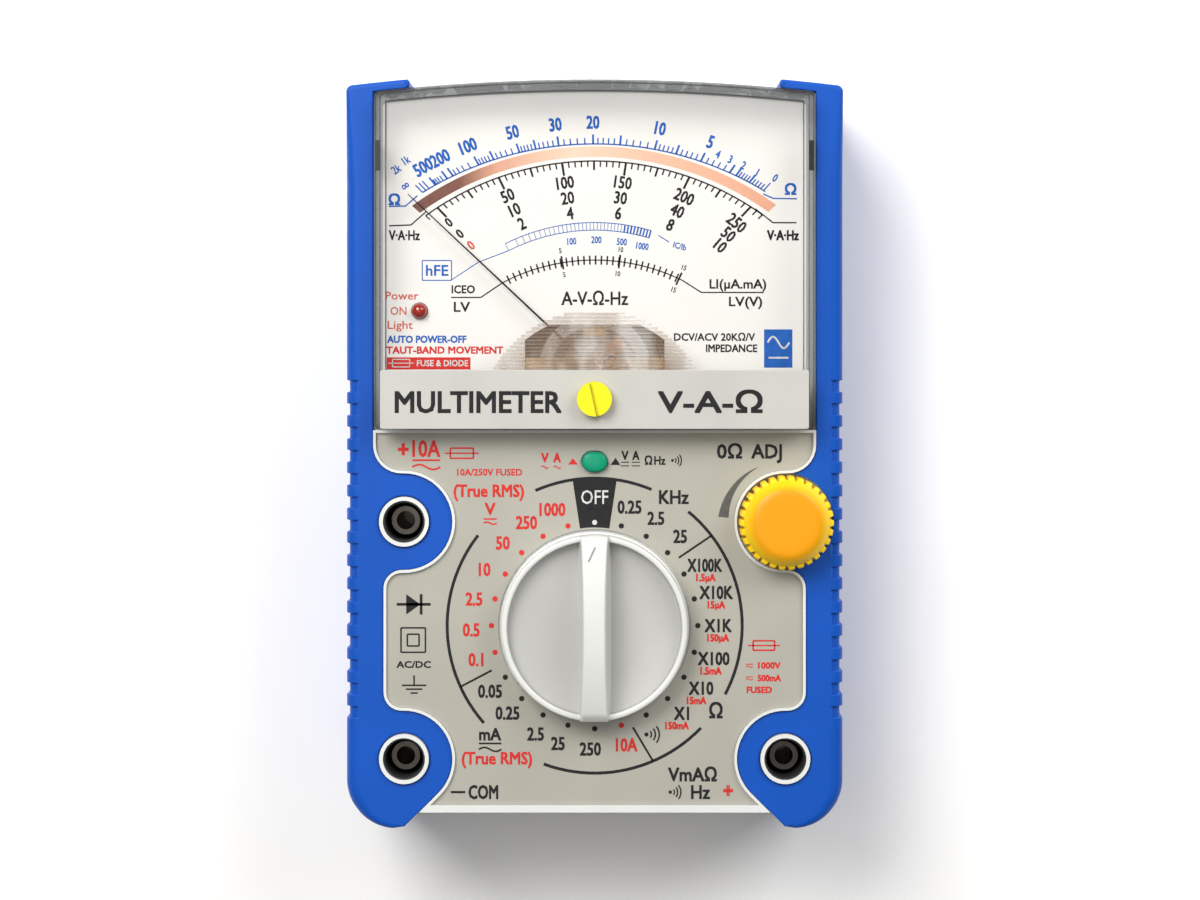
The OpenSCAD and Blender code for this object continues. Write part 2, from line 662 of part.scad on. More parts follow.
module mode_button() color("mediumseagreen") {
    button_oval(face_z - 0.2, ledge_z + 3.6, 0);
    button_oval(face_z - 1.2, face_z - 0.2, 0.8);
    rod(button_c, face_z - 7.2, face_z - 1.2, 1.5);
}
module mode_switch() color("dimgray") difference() {
    block([-4, button_c[1] - 4, pcb_top_z], [4, button_c[1] + 2.6, face_z - 6]);
    rod(button_c, face_z - 9.8, face_z, 1.6);
}

// ---- Batteries, cover and stand ----

cell_x = [-28.6, -13.4];
cell_z = boot_back_t + 9.3;
cell_l = 49.5;
nub_l = 1;
cell_y = 19.75;

// One cell, its nub towards the dial end or, flipped, towards the foot
module aa_cell(x, flip) translate([x, flip ? bay_y[0] + bay_y[1] - cell_y : cell_y, cell_z]) rotate([flip ? 90 : -90, 0, 0]) {
    cylinder(r = cell_r, h = cell_l);
    translate([0, 0, cell_l]) cylinder(r = 2.75, h = nub_l);
}
module aa_cells() color("dimgray") {
    aa_cell(cell_x[0], false);
    aa_cell(cell_x[1], true);
}
module block_battery() color("darkslategray") {
    block([5, 19, 4.6], [31.5, 65.5, 22]);
    long_rod(11.9, 65.5, 68.3, 13.3, 2.9);
    long_rod(24.6, 65.5, 68.3, 13.3, 3.6);
}
module battery_contacts() color("lightgray") {
    plate_t = 0.5;
    wire_r = 0.4;
    spring_turns = 4;
    mid_y = (bay_y[0] + bay_y[1]) / 2;
    spring_l = cell_y - bay_y[0] - fit - plate_t;
    spring_pitch = (spring_l - 2 * wire_r - fit) / (spring_turns - 1);
    for (k = [0, 1])
        translate([cell_x[k], mid_y, cell_z]) rotate([0, 0, k * 180]) {
            half = (bay_y[1] - bay_y[0]) / 2 - fit;
            cell_foot = cell_y - mid_y;
            block([-5, -half, -5], [5, -half + plate_t, 5]);
            translate([0, -half + plate_t, 0]) rotate([-90, 0, 0]) rotate_extrude()
                for (j = [0:spring_turns - 1])
                    translate([4.2 - j * 0.62, wire_r + j * spring_pitch]) circle(r = wire_r);
            block([-5, half - plate_t, -5], [5, half, 5]);
            long_rod(0, cell_foot + cell_l + nub_l + 0.05, half - plate_t, 0, 2.4);
        }
    block([8, 68.5, 8.3], [28.2, 69.5, 18.3]);
    block([16, 69.5, 10], [20, bay_y[1] - fit, 16]);
}
module battery_cover() color("silver") difference() {
    cover_z = boot_back_t + 1.8;
    union() {
        block([-bay_x + 0.2, bay_y[0] + 0.2, boot_back_t], [bay_x - 0.2, bay_y[1] - 0.2, cover_z]);
        rod(bay_screw_c, cover_z, pocket_z - 0.4, 4.2);
    }
    rod(bay_screw_c, boot_back_t - eps, boot_back_t + 2.6, 2.9);
    rod(bay_screw_c, boot_back_t, pocket_z, 1.42);
    for (y = [62, 64.5, 67])
        block([-6, y, boot_back_t - eps], [6, y + 1, boot_back_t + 0.7]);
}
module battery_cover_screw() color("dimgray") screw(bay_screw_c, boot_back_t + 0.6, 2, 2.8, 14, 1.4);
module tilt_stand() color("silver") difference() {
    half = stand_w / 2;
    z = [boot_back_t + 0.3, boot_back_t + 3.5];
    foot_y = hinge_c[0] - stand_l;
    union() {
        block([-half, foot_y, z[0]], [half, hinge_c[0] - 1.5, z[1]]);
        cross_rod(-half, half, hinge_c[0], hinge_c[1], 2);
    }
    cross_rod(-half - eps, half + eps, hinge_c[0], hinge_c[1], stand_pin_r + fit);
    for (x = [-18, 0, 18])
        block([x - 6, foot_y + 12, z[0] - eps], [x + 6, hinge_c[0] - 14, z[0] + 0.8]);
}
module stand_pin() color("gray") cross_rod(-hinge_x + 1, hinge_x - 1, hinge_c[0], hinge_c[1], stand_pin_r);

holster();
front_case();
rear_case();
panel_label();
meter_lens();
lens_latches();
name_strip();
dial_plate();
dial_screws();
power_led();
pointer_stops();
movement_frame();
yoke_ring();
core_magnet();
core_supports();
upper_bridge();
lower_tension_spring();
upper_tension_spring();
zero_lever();
zero_adjuster();
coil_former();
coil_winding();
pointer_hub();
pointer_needle();
balance_weights();
taut_bands();
selector_knob();
switch_rotor();
switch_wipers();
detent_plungers();
detent_ring();
main_pcb();
pcb_screws();
resistors();
trimmer_pots();
jack_body_10a();
jack_body_com();
jack_body_vma();
jack_contact_10a();
jack_contact_com();
jack_contact_vma();
ohm_knob();
ohm_pot();
ohm_pot_shaft();
mode_button();
mode_switch();
fuse_tubes();
fuse_caps();
fuse_clips();
shunt_bar();
buzzer();
aa_cells();
block_battery();
battery_contacts();
battery_cover();
battery_cover_screw();
tilt_stand();
stand_pin();
case_screws();
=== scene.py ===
"""Analog multimeter in its blue boot: the looks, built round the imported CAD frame.

Lengths inside the script are millimetres in the frame's own axes: +Z out of the dial, +Y to the dial end.
"""
import bpy
import bmesh
import json
import math
from mathutils import Matrix, Vector


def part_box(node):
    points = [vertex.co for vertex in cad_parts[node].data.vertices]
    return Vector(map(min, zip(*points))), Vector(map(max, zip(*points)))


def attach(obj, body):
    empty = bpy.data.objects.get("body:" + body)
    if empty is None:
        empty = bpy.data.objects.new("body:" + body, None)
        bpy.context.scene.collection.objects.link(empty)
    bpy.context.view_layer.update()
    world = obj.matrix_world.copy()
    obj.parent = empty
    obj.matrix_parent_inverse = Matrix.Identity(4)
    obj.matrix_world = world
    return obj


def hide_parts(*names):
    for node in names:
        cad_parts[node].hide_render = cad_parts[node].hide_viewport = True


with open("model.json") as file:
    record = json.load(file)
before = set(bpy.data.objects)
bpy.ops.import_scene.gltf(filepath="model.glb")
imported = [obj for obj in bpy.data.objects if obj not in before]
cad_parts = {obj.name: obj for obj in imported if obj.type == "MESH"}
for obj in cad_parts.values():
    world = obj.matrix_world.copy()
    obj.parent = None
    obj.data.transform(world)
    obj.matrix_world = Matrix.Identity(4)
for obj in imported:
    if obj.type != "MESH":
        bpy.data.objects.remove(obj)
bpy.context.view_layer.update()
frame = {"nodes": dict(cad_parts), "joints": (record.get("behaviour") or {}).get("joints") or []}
MM = 0.001


def cad_box(node):
    """Lowest and highest corner of a CAD node, in millimetres."""
    low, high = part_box(node)
    return low / MM, high / MM


def centre(node):
    low, high = cad_box(node)
    return (low + high) / 2


def joint_place(name):
    return next(Vector(j["pos_m"]) / MM for j in frame["joints"] if j["name"] == name)


def arch(top, r, x):
    """Height, at x from its middle, of an arch of radius r that peaks at top."""
    return top - r + math.sqrt(r * r - x * x)


# ---------------------------------------------------------------- sizes from the frame
BOOT_LOW, BOOT_HIGH = cad_box("holster")
CASE_LOW, CASE_HIGH = cad_box("rear_case")
GLASS_LOW, GLASS_HIGH = cad_box("meter_lens")
STRIP_LOW, STRIP_HIGH = cad_box("name_strip")
LABEL_Z = cad_box("panel_label")[1].z
DIAL_Z = cad_box("dial_plate")[1].z
LEDGE_Z = GLASS_LOW.z
HALF_W = BOOT_HIGH.x
CASE_X = CASE_HIGH.x
CROWN_Y = GLASS_HIGH.y
FOOT_Y = CASE_LOW.y
TEN_AMP, COM, VMA = (centre("jack_body_" + s) for s in ("10a", "com", "vma"))
OHM = joint_place("ohm_knob_turn")
SELECTOR = joint_place("selector_turn")
ADJUSTER = joint_place("zero_adjuster_turn")
PIVOT = joint_place("pointer_swing")
BUTTON = centre("mode_button")

# Outline of the boot's front, the same as in the CAD
CROWN_R = 450
TAB_X = 41
TAB_T = BOOT_HIGH.y - arch(CROWN_Y, CROWN_R, TAB_X)
WING_R = 10.7
NECK_R = 6.2
HIP_R = 4
WINDOW_X = 48.9
WAIST_X = 46.6
FOOT_CORNER = (44.4, -71.7)


# ---------------------------------------------------------------- plane outlines
def even(start, end, n):
    """n + 1 values at even steps."""
    return [start + (end - start) * i / n for i in range(n + 1)]


def smooth(t):
    """Soft step from 0 to 1."""
    return t * t * (3 - 2 * t)


def arc(c, r, a0, a1, n):
    """Points on an arc, angles in degrees."""
    return [(c[0] + r * math.cos(a), c[1] + r * math.sin(a)) for a in map(math.radians, even(a0, a1, n))]


def circle(c, r, n=64):
    return arc(c, r, 0, 360, n)[:-1]


def rounded_rect(low, high, r, n):
    """Closed path round a rectangle with rounded corners."""
    (x0, y0), (x1, y1) = low, high
    return (arc((x1 - r, y1 - r), r, 90, 0, n) + arc((x1 - r, y0 + r), r, 0, -90, n)
            + arc((x0 + r, y0 + r), r, -90, -180, n) + arc((x0 + r, y1 - r), r, 180, 90, n))


def crown(x):
    """Arched dial end of the case, at x from the middle line."""
    return arch(CROWN_Y, CROWN_R, x)


def crown_points(x0, x1, lift, n):
    return [(x, crown(x) + lift) for x in even(x0, x1, n)]


def mirrored(half):
    """Closed outline from its right half, which runs from the dial end to the foot."""
    return half + [(-x, y) for x, y in reversed(half)]


def foot_x(d, y):
    """X of the slanting edge of the boot's foot at height y, moved inwards by d."""
    px = VMA.x + (WING_R + d) * math.cos(math.radians(225))
    py = VMA.y + (WING_R + d) * math.sin(math.radians(225))
    return px + py - y


def wavy_half(d):
    """Edge between the boot and the panel on the right half, moved into the panel by d."""
    x, high, low = VMA.x, OHM.y, VMA.y
    neck_a = math.degrees(math.acos((WINDOW_X - NECK_R - x) / (WING_R + NECK_R)))
    hip_a = math.degrees(math.acos((WAIST_X - HIP_R - x) / (WING_R + HIP_R)))

    def off(c, r, a):
        return c[0] + r * math.cos(math.radians(a)), c[1] + r * math.sin(math.radians(a))
    return (arc(off((x, high), WING_R + NECK_R, neck_a), NECK_R - d, 0, neck_a - 180, 12)
            + arc((x, high), WING_R + d, neck_a, 360 - hip_a, 40)[1:-1]
            + arc(off((x, high), WING_R + HIP_R, -hip_a), HIP_R - d, 180 - hip_a, 0, 12)
            + arc(off((x, low), WING_R + HIP_R, hip_a), HIP_R - d, 0, hip_a - 180, 12)
            + arc((x, low), WING_R + d, hip_a, 225, 36)[1:])


def inset(path, d, closed=True):
    """A path moved to its right hand side by d, or by its own distance at each point."""
    n = len(path)
    dist = d if isinstance(d, (list, tuple)) else [d] * n
    out = []
    for i, p in enumerate(path):
        a = path[i - 1] if closed or i else p
        b = path[(i + 1) % n] if closed or i < n - 1 else p
        u = Vector((p[0] - a[0], p[1] - a[1]))
        v = Vector((b[0] - p[0], b[1] - p[1]))
        u = u.normalized() if u.length > 1e-9 else v.normalized()
        v = v.normalized() if v.length > 1e-9 else u
        mitre = Vector((u.y + v.y, -u.x - v.x))
        mitre /= max(0.5, mitre.length_squared / 2)
        out.append((p[0] + mitre.x * dist[i], p[1] + mitre.y * dist[i]))
    return out


# ---------------------------------------------------------------- mesh builder
class Shell:
    """A mesh made of rings of points joined by quads, and of flat caps."""

    def __init__(self):
        self.bm = bmesh.new()

    def ring(self, points, z=None):
        full = [(p[0], p[1], z if z is not None else p[2]) for p in points]
        return [self.bm.verts.new(Vector(p) * MM) for p in full]

    def skin(self, a, b, closed=True, slot=0):
        n = len(a)
        for i in range(n if closed else n - 1):
            j = (i + 1) % n
            self.bm.faces.new((a[i], a[j], b[j], b[i])).material_index = slot

    def stack(self, rings, closed=True, slot=0):
        for a, b in zip(rings, rings[1:]):
            self.skin(a, b, closed, slot)

    def walls(self, outline, levels, slot=0):
        """Rings of outline(d) at height z for each (d, z), joined up. Returns the first and the last ring."""
        rings = [self.ring(outline(d), z) for d, z in levels]
        self.stack(rings, slot=slot)
        return rings[0], rings[-1]

    def cap(self, *loops, slot=0):
        """Flat face inside the first loop and outside the others."""
        edges = []
        for loop in loops:
            for i, v in enumerate(loop):
                w = loop[(i + 1) % len(loop)]
                edges.append(self.bm.edges.get((v, w)) or self.bm.edges.new((v, w)))
        made = bmesh.ops.triangle_fill(self.bm, use_beauty=True, use_dissolve=False, edges=edges)
        for f in made["geom"]:
            if isinstance(f, bmesh.types.BMFace):
                f.material_index = slot

    def solid(self, rings):
        """Closed form through a run of rings."""
        self.stack(rings)
        for loop in (rings[0], rings[-1]):
            self.bm.faces.new(loop)

    def mirror(self, since):
        """Flips every vertex from number since on to the other side of the middle line."""
        self.bm.verts.ensure_lookup_table()
        bmesh.ops.transform(self.bm, matrix=Matrix.Scale(-1, 4, (1, 0, 0)), verts=self.bm.verts[since:])

    def mesh(self, name):
        """The finished mesh. The shell itself is emptied."""
        bmesh.ops.remove_doubles(self.bm, verts=self.bm.verts, dist=1e-7)
        bmesh.ops.recalc_face_normals(self.bm, faces=self.bm.faces)
        mesh = bpy.data.meshes.new(name)
        self.bm.to_mesh(mesh)
        self.bm.clear()
        return mesh

    def piece(self, name, materials, body, **options):
        finish_piece(self.mesh(name), name, materials, body, **options)


def add_object(name, data):
    obj = bpy.data.objects.new(name, data)
    bpy.context.scene.collection.objects.link(obj)
    return obj


def finish_piece(mesh, name, materials, body, replaces=(), slot=None, sharp=32, weighted=True):
    """Links a mesh as a named piece that rides on a body."""
    mesh.shade_smooth()
    mesh.set_sharp_from_angle(angle=math.radians(sharp))
    for material in materials:
        mesh.materials.append(M[material])
    obj = add_object(name, mesh)
    if weighted:
        mod = obj.modifiers.new("even_shading", "WEIGHTED_NORMAL")
        mod.keep_sharp = True
    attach(obj, body)
    if replaces:
        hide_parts(*replaces)


def fillet(r, z_edge, n, up=True):
    """(inset, z) steps round an edge of radius r that ends flat at z_edge."""
    steps = []
    for i in range(n + 1):
        a = math.radians(90 * i / n)
        dz = r - r * math.sin(a)
        steps.append((r - r * math.cos(a), z_edge - dz if up else z_edge + dz))
    return steps


def lathe(shell, c, profile, n, wave=None):
    """A turned shape. profile holds (radius, z), from the axis at one end to the axis at the other."""
    rings = []
    for k, (r, z) in enumerate(profile):
        points = []
        for i in range(n):
            a = 2 * math.pi * i / n
            q = r + (wave(k, 360 * i / n) if wave else 0)
            points.append((c[0] + q * math.cos(a), c[1] + q * math.sin(a)))
        rings.append(shell.ring(points, z))
    shell.solid(rings)


# ---------------------------------------------------------------- materials
class Paint:
    """Short way to write a node material round one Principled shader."""

    def __init__(self, name, rough=0.45, **sockets):
        self.mat = bpy.data.materials.new(name)
        self.mat.use_nodes = True
        self.tree = self.mat.node_tree
        self.bsdf = self.tree.nodes["Principled BSDF"]
        self.bsdf.inputs["Roughness"].default_value = rough
        for key, value in sockets.items():
            self.bsdf.inputs[key].default_value = value
        self.coords = self.tree.nodes.new("ShaderNodeTexCoord").outputs["Object"]

    def node(self, kind, **values):
        n = self.tree.nodes.new(kind)
        for key, value in values.items():
            if key in n.inputs:
                n.inputs[key].default_value = value
            else:
                setattr(n, key, value)
        return n

    def link(self, a, b):
        self.tree.links.new(a, b)

    def texture(self, kind, place, **values):
        """A texture in object coordinates that are moved and scaled by place."""
        spot = self.node("ShaderNodeMapping", **place)
        pattern = self.node(kind, **values)
        self.link(self.coords, spot.inputs["Vector"])
        self.link(spot.outputs[0], pattern.inputs["Vector"])
        return pattern.outputs["Fac"]

    def noise(self, per_mm, detail=3.0, stretch=(1, 1, 1)):
        """Noise with a given number of features to the millimetre."""
        return self.texture("ShaderNodeTexNoise", {"Scale": stretch}, Scale=per_mm / MM, Detail=detail)

    def nearness(self, x, y, radius):
        """1 over a point of the plan, falling to 0 at a radius, all in millimetres."""
        scale = 1 / (radius * MM)
        place = {"Location": (-x / radius, -y / radius, 0), "Scale": (scale, scale, 0)}
        return self.texture("ShaderNodeTexGradient", place, gradient_type="SPHERICAL")

    def ramp(self, value, *stops):
        """Colour ramp through (position, colour) stops."""
        ramp = self.node("ShaderNodeValToRGB")
        first, *between, last = stops
        ends = ramp.color_ramp.elements
        ends[0].position, ends[1].position = first[0], last[0]
        ends[0].color, ends[1].color = (*first[1], 1), (*last[1], 1)
        for position, colour in between:
            ends.new(position).color = (*colour, 1)
        self.link(value, ramp.inputs["Fac"])
        return ramp.outputs["Color"]

    def span(self, value, low, high, top=1.0):
        """Spreads a value that runs from 0 to top over low to high."""
        spread = self.node("ShaderNodeMapRange", **{"From Max": top, "To Min": low, "To Max": high})
        self.link(value, spread.inputs["Value"])
        return spread.outputs["Result"]

    def colour(self, base, spread=0.06, per_mm=0.05):
        """Base colour with faint cloudy variation."""
        dark = [c * (1 - spread) for c in base]
        light = [min(1, c * (1 + spread)) for c in base]
        clouds = self.ramp(self.noise(per_mm, 2), (0.35, dark), (0.65, light))
        self.link(clouds, self.bsdf.inputs["Base Color"])
        return self

    def roughness(self, low, high, per_mm=0.4):
        self.link(self.span(self.noise(per_mm), low, high), self.bsdf.inputs["Roughness"])
        return self

    def grain(self, per_mm, depth_mm, strength=0.5, stretch=(1, 1, 1)):
        """Fine surface relief."""
        bump = self.node("ShaderNodeBump", Strength=strength, Distance=depth_mm * MM)
        self.link(self.noise(per_mm, 2, stretch), bump.inputs["Height"])
        self.link(bump.outputs["Normal"], self.bsdf.inputs["Normal"])
        return self

    def surface(self, shader):
        """Puts another shader in the Principled one's place."""
        self.tree.nodes.remove(self.bsdf)
        self.link(shader.outputs[0], self.tree.nodes["Material Output"].inputs["Surface"])
        return self.mat


def dull(level):
    """Weaker mirror light than the 0.5 that the shader starts with."""
    return {"Specular IOR Level": level}


def plastic(name, base, rough=(0.38, 0.5), grain=(3.0, 0.02), spread=0.05, **sockets):
    """Moulded plastic: cloudy colour, uneven gloss and a fine spark-eroded grain."""
    return Paint(name, **sockets).colour(base, spread).roughness(*rough).grain(*grain).mat


def metal(name, base, rough=(0.2, 0.38)):
    """Metal with fine tool marks across the object."""
    p = Paint(name, Metallic=1.0).colour(base, 0.08, 0.3).roughness(*rough, per_mm=0.8)
    return p.grain(2.5, 0.01, 0.4, stretch=(1, 12, 1)).mat


def print_ink(name, base):
    """Silk-screen ink: slightly uneven and a little duller than what it lies on."""
    return Paint(name, **dull(0.12)).colour(base, 0.1, 0.6).roughness(0.5, 0.65, 1.0).mat


def clear_plastic(name, tint, haze=0.0, haze_dark=(0.8, 0.82, 0.85), haze_light=None,
                  gloss_rough=(0.02, 0.06), spot=None):
    """Clear moulding: light goes straight through, with gloss at a slant and smudges.

    Frosted mouldings have streaked haze, which a spot (centre y, radius, haze) makes denser towards a point
    on the middle line.
    """
    p = Paint(name)
    see = p.node("ShaderNodeBsdfTransparent", Color=tint)
    fog = p.node("ShaderNodeBsdfDiffuse")
    streaks = p.ramp(p.noise(0.16, 2, (1, 0.35, 1)), (0.42, haze_dark), (0.6, haze_light or haze_dark))
    p.link(streaks, fog.inputs["Color"])
    body = p.node("ShaderNodeMixShader", Fac=haze)
    if spot:
        centre_y, radius, peak = spot
        p.link(p.span(p.nearness(0, centre_y, radius), haze, peak, 0.5), body.inputs["Fac"])
    gloss = p.node("ShaderNodeBsdfGlossy")
    p.link(p.span(p.noise(0.15), *gloss_rough), gloss.inputs["Roughness"])
    ripple = p.node("ShaderNodeBump", Strength=0.03, Distance=0.01 * MM)
    p.link(p.noise(0.08), ripple.inputs["Height"])
    p.link(ripple.outputs["Normal"], gloss.inputs["Normal"])
    slant = p.node("ShaderNodeLayerWeight", Blend=0.014)
    mix = p.node("ShaderNodeMixShader")
    p.link(slant.outputs["Facing"], mix.inputs["Fac"])
    for mixer, first, second in ((body, see, fog), (mix, body, gloss)):
        p.link(first.outputs[0], mixer.inputs[1])
        p.link(second.outputs[0], mixer.inputs[2])
    return p.surface(mix)


def unseen_face(name, tint):
    """Inner face of a clear moulding: light goes straight on with next to no loss."""
    p = Paint(name)
    return p.surface(p.node("ShaderNodeBsdfTransparent", Color=tint))


def ohm_plastic(name):
    """Orange face that fades into a yellow flank of the ohm knob; the yellow flank is a painted highlight."""
    p = Paint(name, **dull(0.25)).roughness(0.3, 0.42).grain(3.0, 0.02)
    flank_highlight, face = (0.95, 0.62, 0.008), (0.76, 0.31, 0.003)
    # Painted highlight: the shoulder and teeth are coloured yellow as if brightly lit, while the face keeps
    # the knob's orange.
    p.link(p.ramp(p.nearness(OHM.x, OHM.y, 12), (0.25, flank_highlight), (0.40, face)), p.bsdf.inputs["Base Color"])
    return p.mat


def mirror_band(name):
    """Polished band under the pointer's tip: coppery, dark brown towards its left end, with a paler painted
    highlight left of the middle.
    """
    p = Paint(name, Metallic=0.1).roughness(0.22, 0.36, 0.5).grain(3.0, 0.01)
    across = p.texture("ShaderNodeTexGradient", {"Location": (0.5, 0, 0), "Scale": (0.01 / MM, 1, 1)})
    # The pale stop left of the middle is a painted highlight; the rest runs from dark brown at the left end
    # to copper.
    tint_and_highlight = p.ramp(across, (0.07, (0.13, 0.045, 0.030)), (0.20, (0.17, 0.060, 0.040)),
                     (0.28, (0.60, 0.30, 0.20)), (0.45, (0.77, 0.56, 0.42)),
                     (0.62, (0.75, 0.45, 0.31)), (0.92, (0.70, 0.33, 0.21)))
    p.link(tint_and_highlight, p.bsdf.inputs["Base Color"])
    return p.mat


M = {
    "boot": plastic("boot_blue", (0.004, 0.076, 0.43), (0.36, 0.48), (1.2, 0.03), 0.04, **dull(0.2)),
    "case": plastic("case_grey", (0.67, 0.685, 0.675), (0.4, 0.52), (4.0, 0.015), 0.03),
    "rear": plastic("rear_grey", (0.45, 0.44, 0.41), (0.5, 0.62), (2.2, 0.05), 0.04),
    "panel": plastic("panel_film", (0.375, 0.365, 0.315), (0.42, 0.55), (5.0, 0.01), 0.03),
    "strip": plastic("strip_film", (0.475, 0.47, 0.44), (0.36, 0.46), (5.0, 0.008), 0.04),
    "dial": plastic("dial_white", (0.74, 0.725, 0.70), (0.5, 0.6), (6.0, 0.006), 0.015),
    "knob": plastic("knob_silver", (0.66, 0.67, 0.65), (0.26, 0.36), (6.0, 0.01), 0.03),
    # Painted shade: the selector's sunken floors get a darker copy of the knob's silver.
    "knob_floor": plastic("knob_floor_painted_shade", (0.45, 0.45, 0.435), (0.34, 0.44), (6.0, 0.01), 0.03),
    "ohm": ohm_plastic("ohm_orange"),
    "yellow": plastic("adjuster_yellow", (0.78, 0.72, 0.008), (0.24, 0.32), (3.0, 0.01), 0.04, **dull(0.25)),
    "green": plastic("button_green", (0.003, 0.27, 0.145), (0.2, 0.3), (3.0, 0.01), 0.05, **dull(0.25)),
    "led": plastic("led_red", (0.30, 0.020, 0.012), (0.12, 0.2), (3.0, 0.005), 0.05, **{"Coat Weight": 0.5}),
    "black": plastic("black_plastic", (0.013, 0.013, 0.014), (0.34, 0.46), (3.0, 0.02), 0.1),
    "well": plastic("socket_black", (0.018, 0.019, 0.020), (0.4, 0.52), (3.0, 0.02), 0.1, **dull(0.3)),
    "frame": plastic("movement_beige", (0.62, 0.50, 0.38), (0.35, 0.5), (3.0, 0.02), 0.1),
    "white": plastic("natural_acetal", (0.72, 0.70, 0.62), (0.35, 0.5), (3.0, 0.02)),
    "trimmer": plastic("trimmer_blue", (0.03, 0.12, 0.50), (0.3, 0.42)),
    "resistor": plastic("resistor_tan", (0.50, 0.34, 0.16), (0.22, 0.35)),
    "pcb": plastic("board_green", (0.008, 0.11, 0.04), (0.25, 0.4), (1.5, 0.02), 0.15),
    "steel": metal("plated_steel", (0.55, 0.55, 0.56)),
    "contact": metal("nickel_plate", (0.62, 0.60, 0.56), (0.16, 0.3)),
    # Painted shade: the contact tubes deep in the sockets get a near-black metal colour for the shade that
    # falls in them.
    "tube": metal("socket_tube_painted_shade", (0.09, 0.08, 0.07), (0.25, 0.4)),
    "brass": metal("stamped_brass", (0.70, 0.47, 0.17)),
    "copper": metal("copper_bronze", (0.66, 0.28, 0.12)),
    "aluminium": metal("aluminium", (0.75, 0.76, 0.77)),
    "magnet": metal("magnet_alloy", (0.30, 0.30, 0.31), (0.35, 0.5)),
    "cell": plastic("battery_jacket", (0.05, 0.055, 0.065), (0.2, 0.3), (1.0, 0.01), 0.1),
    "ink_mirror": mirror_band("ink_mirror"),
    "needle": print_ink("needle_black", (0.012, 0.012, 0.014)),
    "lens": clear_plastic("lens_clear", (0.985, 0.985, 0.985, 1)),
    # Painted shade: a grey tint and a dark haze make the clear wall and bevel look smoky, and dim the light
    # they let through onto the dial's edges.
    "lens_edge": clear_plastic("lens_edge", (0.62, 0.63, 0.64, 1), 0.18, (0.16, 0.16, 0.17),
                               gloss_rough=(0.15, 0.25)),
    "lens_inside": unseen_face("lens_inside", (0.99, 0.99, 0.99, 1)),
    "ribs": clear_plastic("lens_ribs", (0.96, 0.95, 0.94, 1), 0.10, (0.46, 0.35, 0.27), (0.84, 0.80, 0.76),
                          (0.12, 0.2), spot=(10, 25, 0.74)),
    "fuse_glass": clear_plastic("fuse_glass", (0.9, 0.93, 0.93, 1)),
}
INKS = {
    "black": (0.020, 0.020, 0.022), "red": (0.56, 0.035, 0.030), "rose": (0.58, 0.12, 0.09),
    "blue": (0.020, 0.11, 0.42), "white": (0.58, 0.58, 0.57), "shade": (0.10, 0.10, 0.095),
    "grey": (0.30, 0.30, 0.28)}
for ink_name, ink_colour in INKS.items():
    M["ink_" + ink_name] = print_ink("ink_" + ink_name, ink_colour)


# ---------------------------------------------------------------- carried-over CAD nodes
CAD_LOOKS = {
    # (material, width of the rounded edges): nodes
    ("case", 0.3): "front_case",
    ("rear", 0.3): "rear_case battery_cover tilt_stand",
    ("panel", 0.08): "panel_label",
    ("dial", 0.1): "dial_plate",
    ("black", 0.15): "lens_latches ohm_pot mode_switch buzzer",
    ("frame", 0.15): "movement_frame",
    ("well", 0.12): "jack_body_10a jack_body_com jack_body_vma",
    ("tube", 0.1): "jack_contact_10a jack_contact_com jack_contact_vma",
    ("contact", 0.1): "fuse_caps battery_contacts",
    ("steel", 0.1): "dial_screws pointer_stops yoke_ring detent_plungers pcb_screws case_screws"
                    " battery_cover_screw stand_pin balance_weights",
    ("magnet", 0.15): "core_magnet",
    ("brass", 0.06): "core_supports upper_bridge taut_bands switch_wipers fuse_clips",
    ("copper", 0.05): "lower_tension_spring upper_tension_spring zero_lever coil_winding shunt_bar",
    ("aluminium", 0.05): "coil_former pointer_hub ohm_pot_shaft",
    ("needle", 0.04): "pointer_needle",
    ("yellow", 0.3): "zero_adjuster",
    ("led", 0): "power_led",
    ("white", 0.15): "switch_rotor detent_ring",
    ("pcb", 0.15): "main_pcb",
    ("resistor", 0.1): "resistors",
    ("trimmer", 0.15): "trimmer_pots",
    ("fuse_glass", 0): "fuse_tubes",
    ("cell", 0.5): "aa_cells block_battery",
}


def dress(name, material, width):
    """Gives a CAD node its material and slightly rounded edges."""
    obj = frame["nodes"][name]
    obj.data.materials.clear()
    obj.data.materials.append(M[material])
    if width:
        edge = obj.modifiers.new("edge", "BEVEL")
        edge.width = width * MM
        edge.segments = 2
        edge.limit_method = "ANGLE"
        edge.angle_limit = math.radians(50)
        edge.harden_normals = False


def dress_cad():
    for (material, width), names in CAD_LOOKS.items():
        for name in names.split():
            dress(name, material, width)


# ---------------------------------------------------------------- boot
GRIP_COUNT = 15
GRIP_PITCH = 5.15
GRIP_FIRST_Y = 14.9
GRIP_HALF = 1.275
GRIP_DEPTH = 0.65
GRIP_Z = 6
BOOT_R = 2.8
TAB_R = 0.9
BACK_R = 1.5
RIM_R = 0.35
SOCKET_HOLE_R = 5.65
CORNER_R = 1.5
FIT = 0.05
BAY_R = WING_R + FIT
WALL_EDGE_STEPS = 4
RIM_EDGE_STEPS = 8


def grip_samples():
    """(y, depth from 0 to 1) down the boot's side, close together at each notch's soft edges."""
    plain_step, soft = 8, 0.3
    out = [(CROWN_Y - plain_step * i, 0.0) for i in range(1, 8)]
    for i in range(GRIP_COUNT):
        y = GRIP_FIRST_Y - i * GRIP_PITCH
        for side in (1, -1):
            for k in range(5):
                t = (k if side > 0 else 4 - k) / 4
                out.append((y + side * (GRIP_HALF + soft / 2 - soft * t), smooth(t)))
    return out + [(-62.0, 0.0), (-67.0, 0.0)]


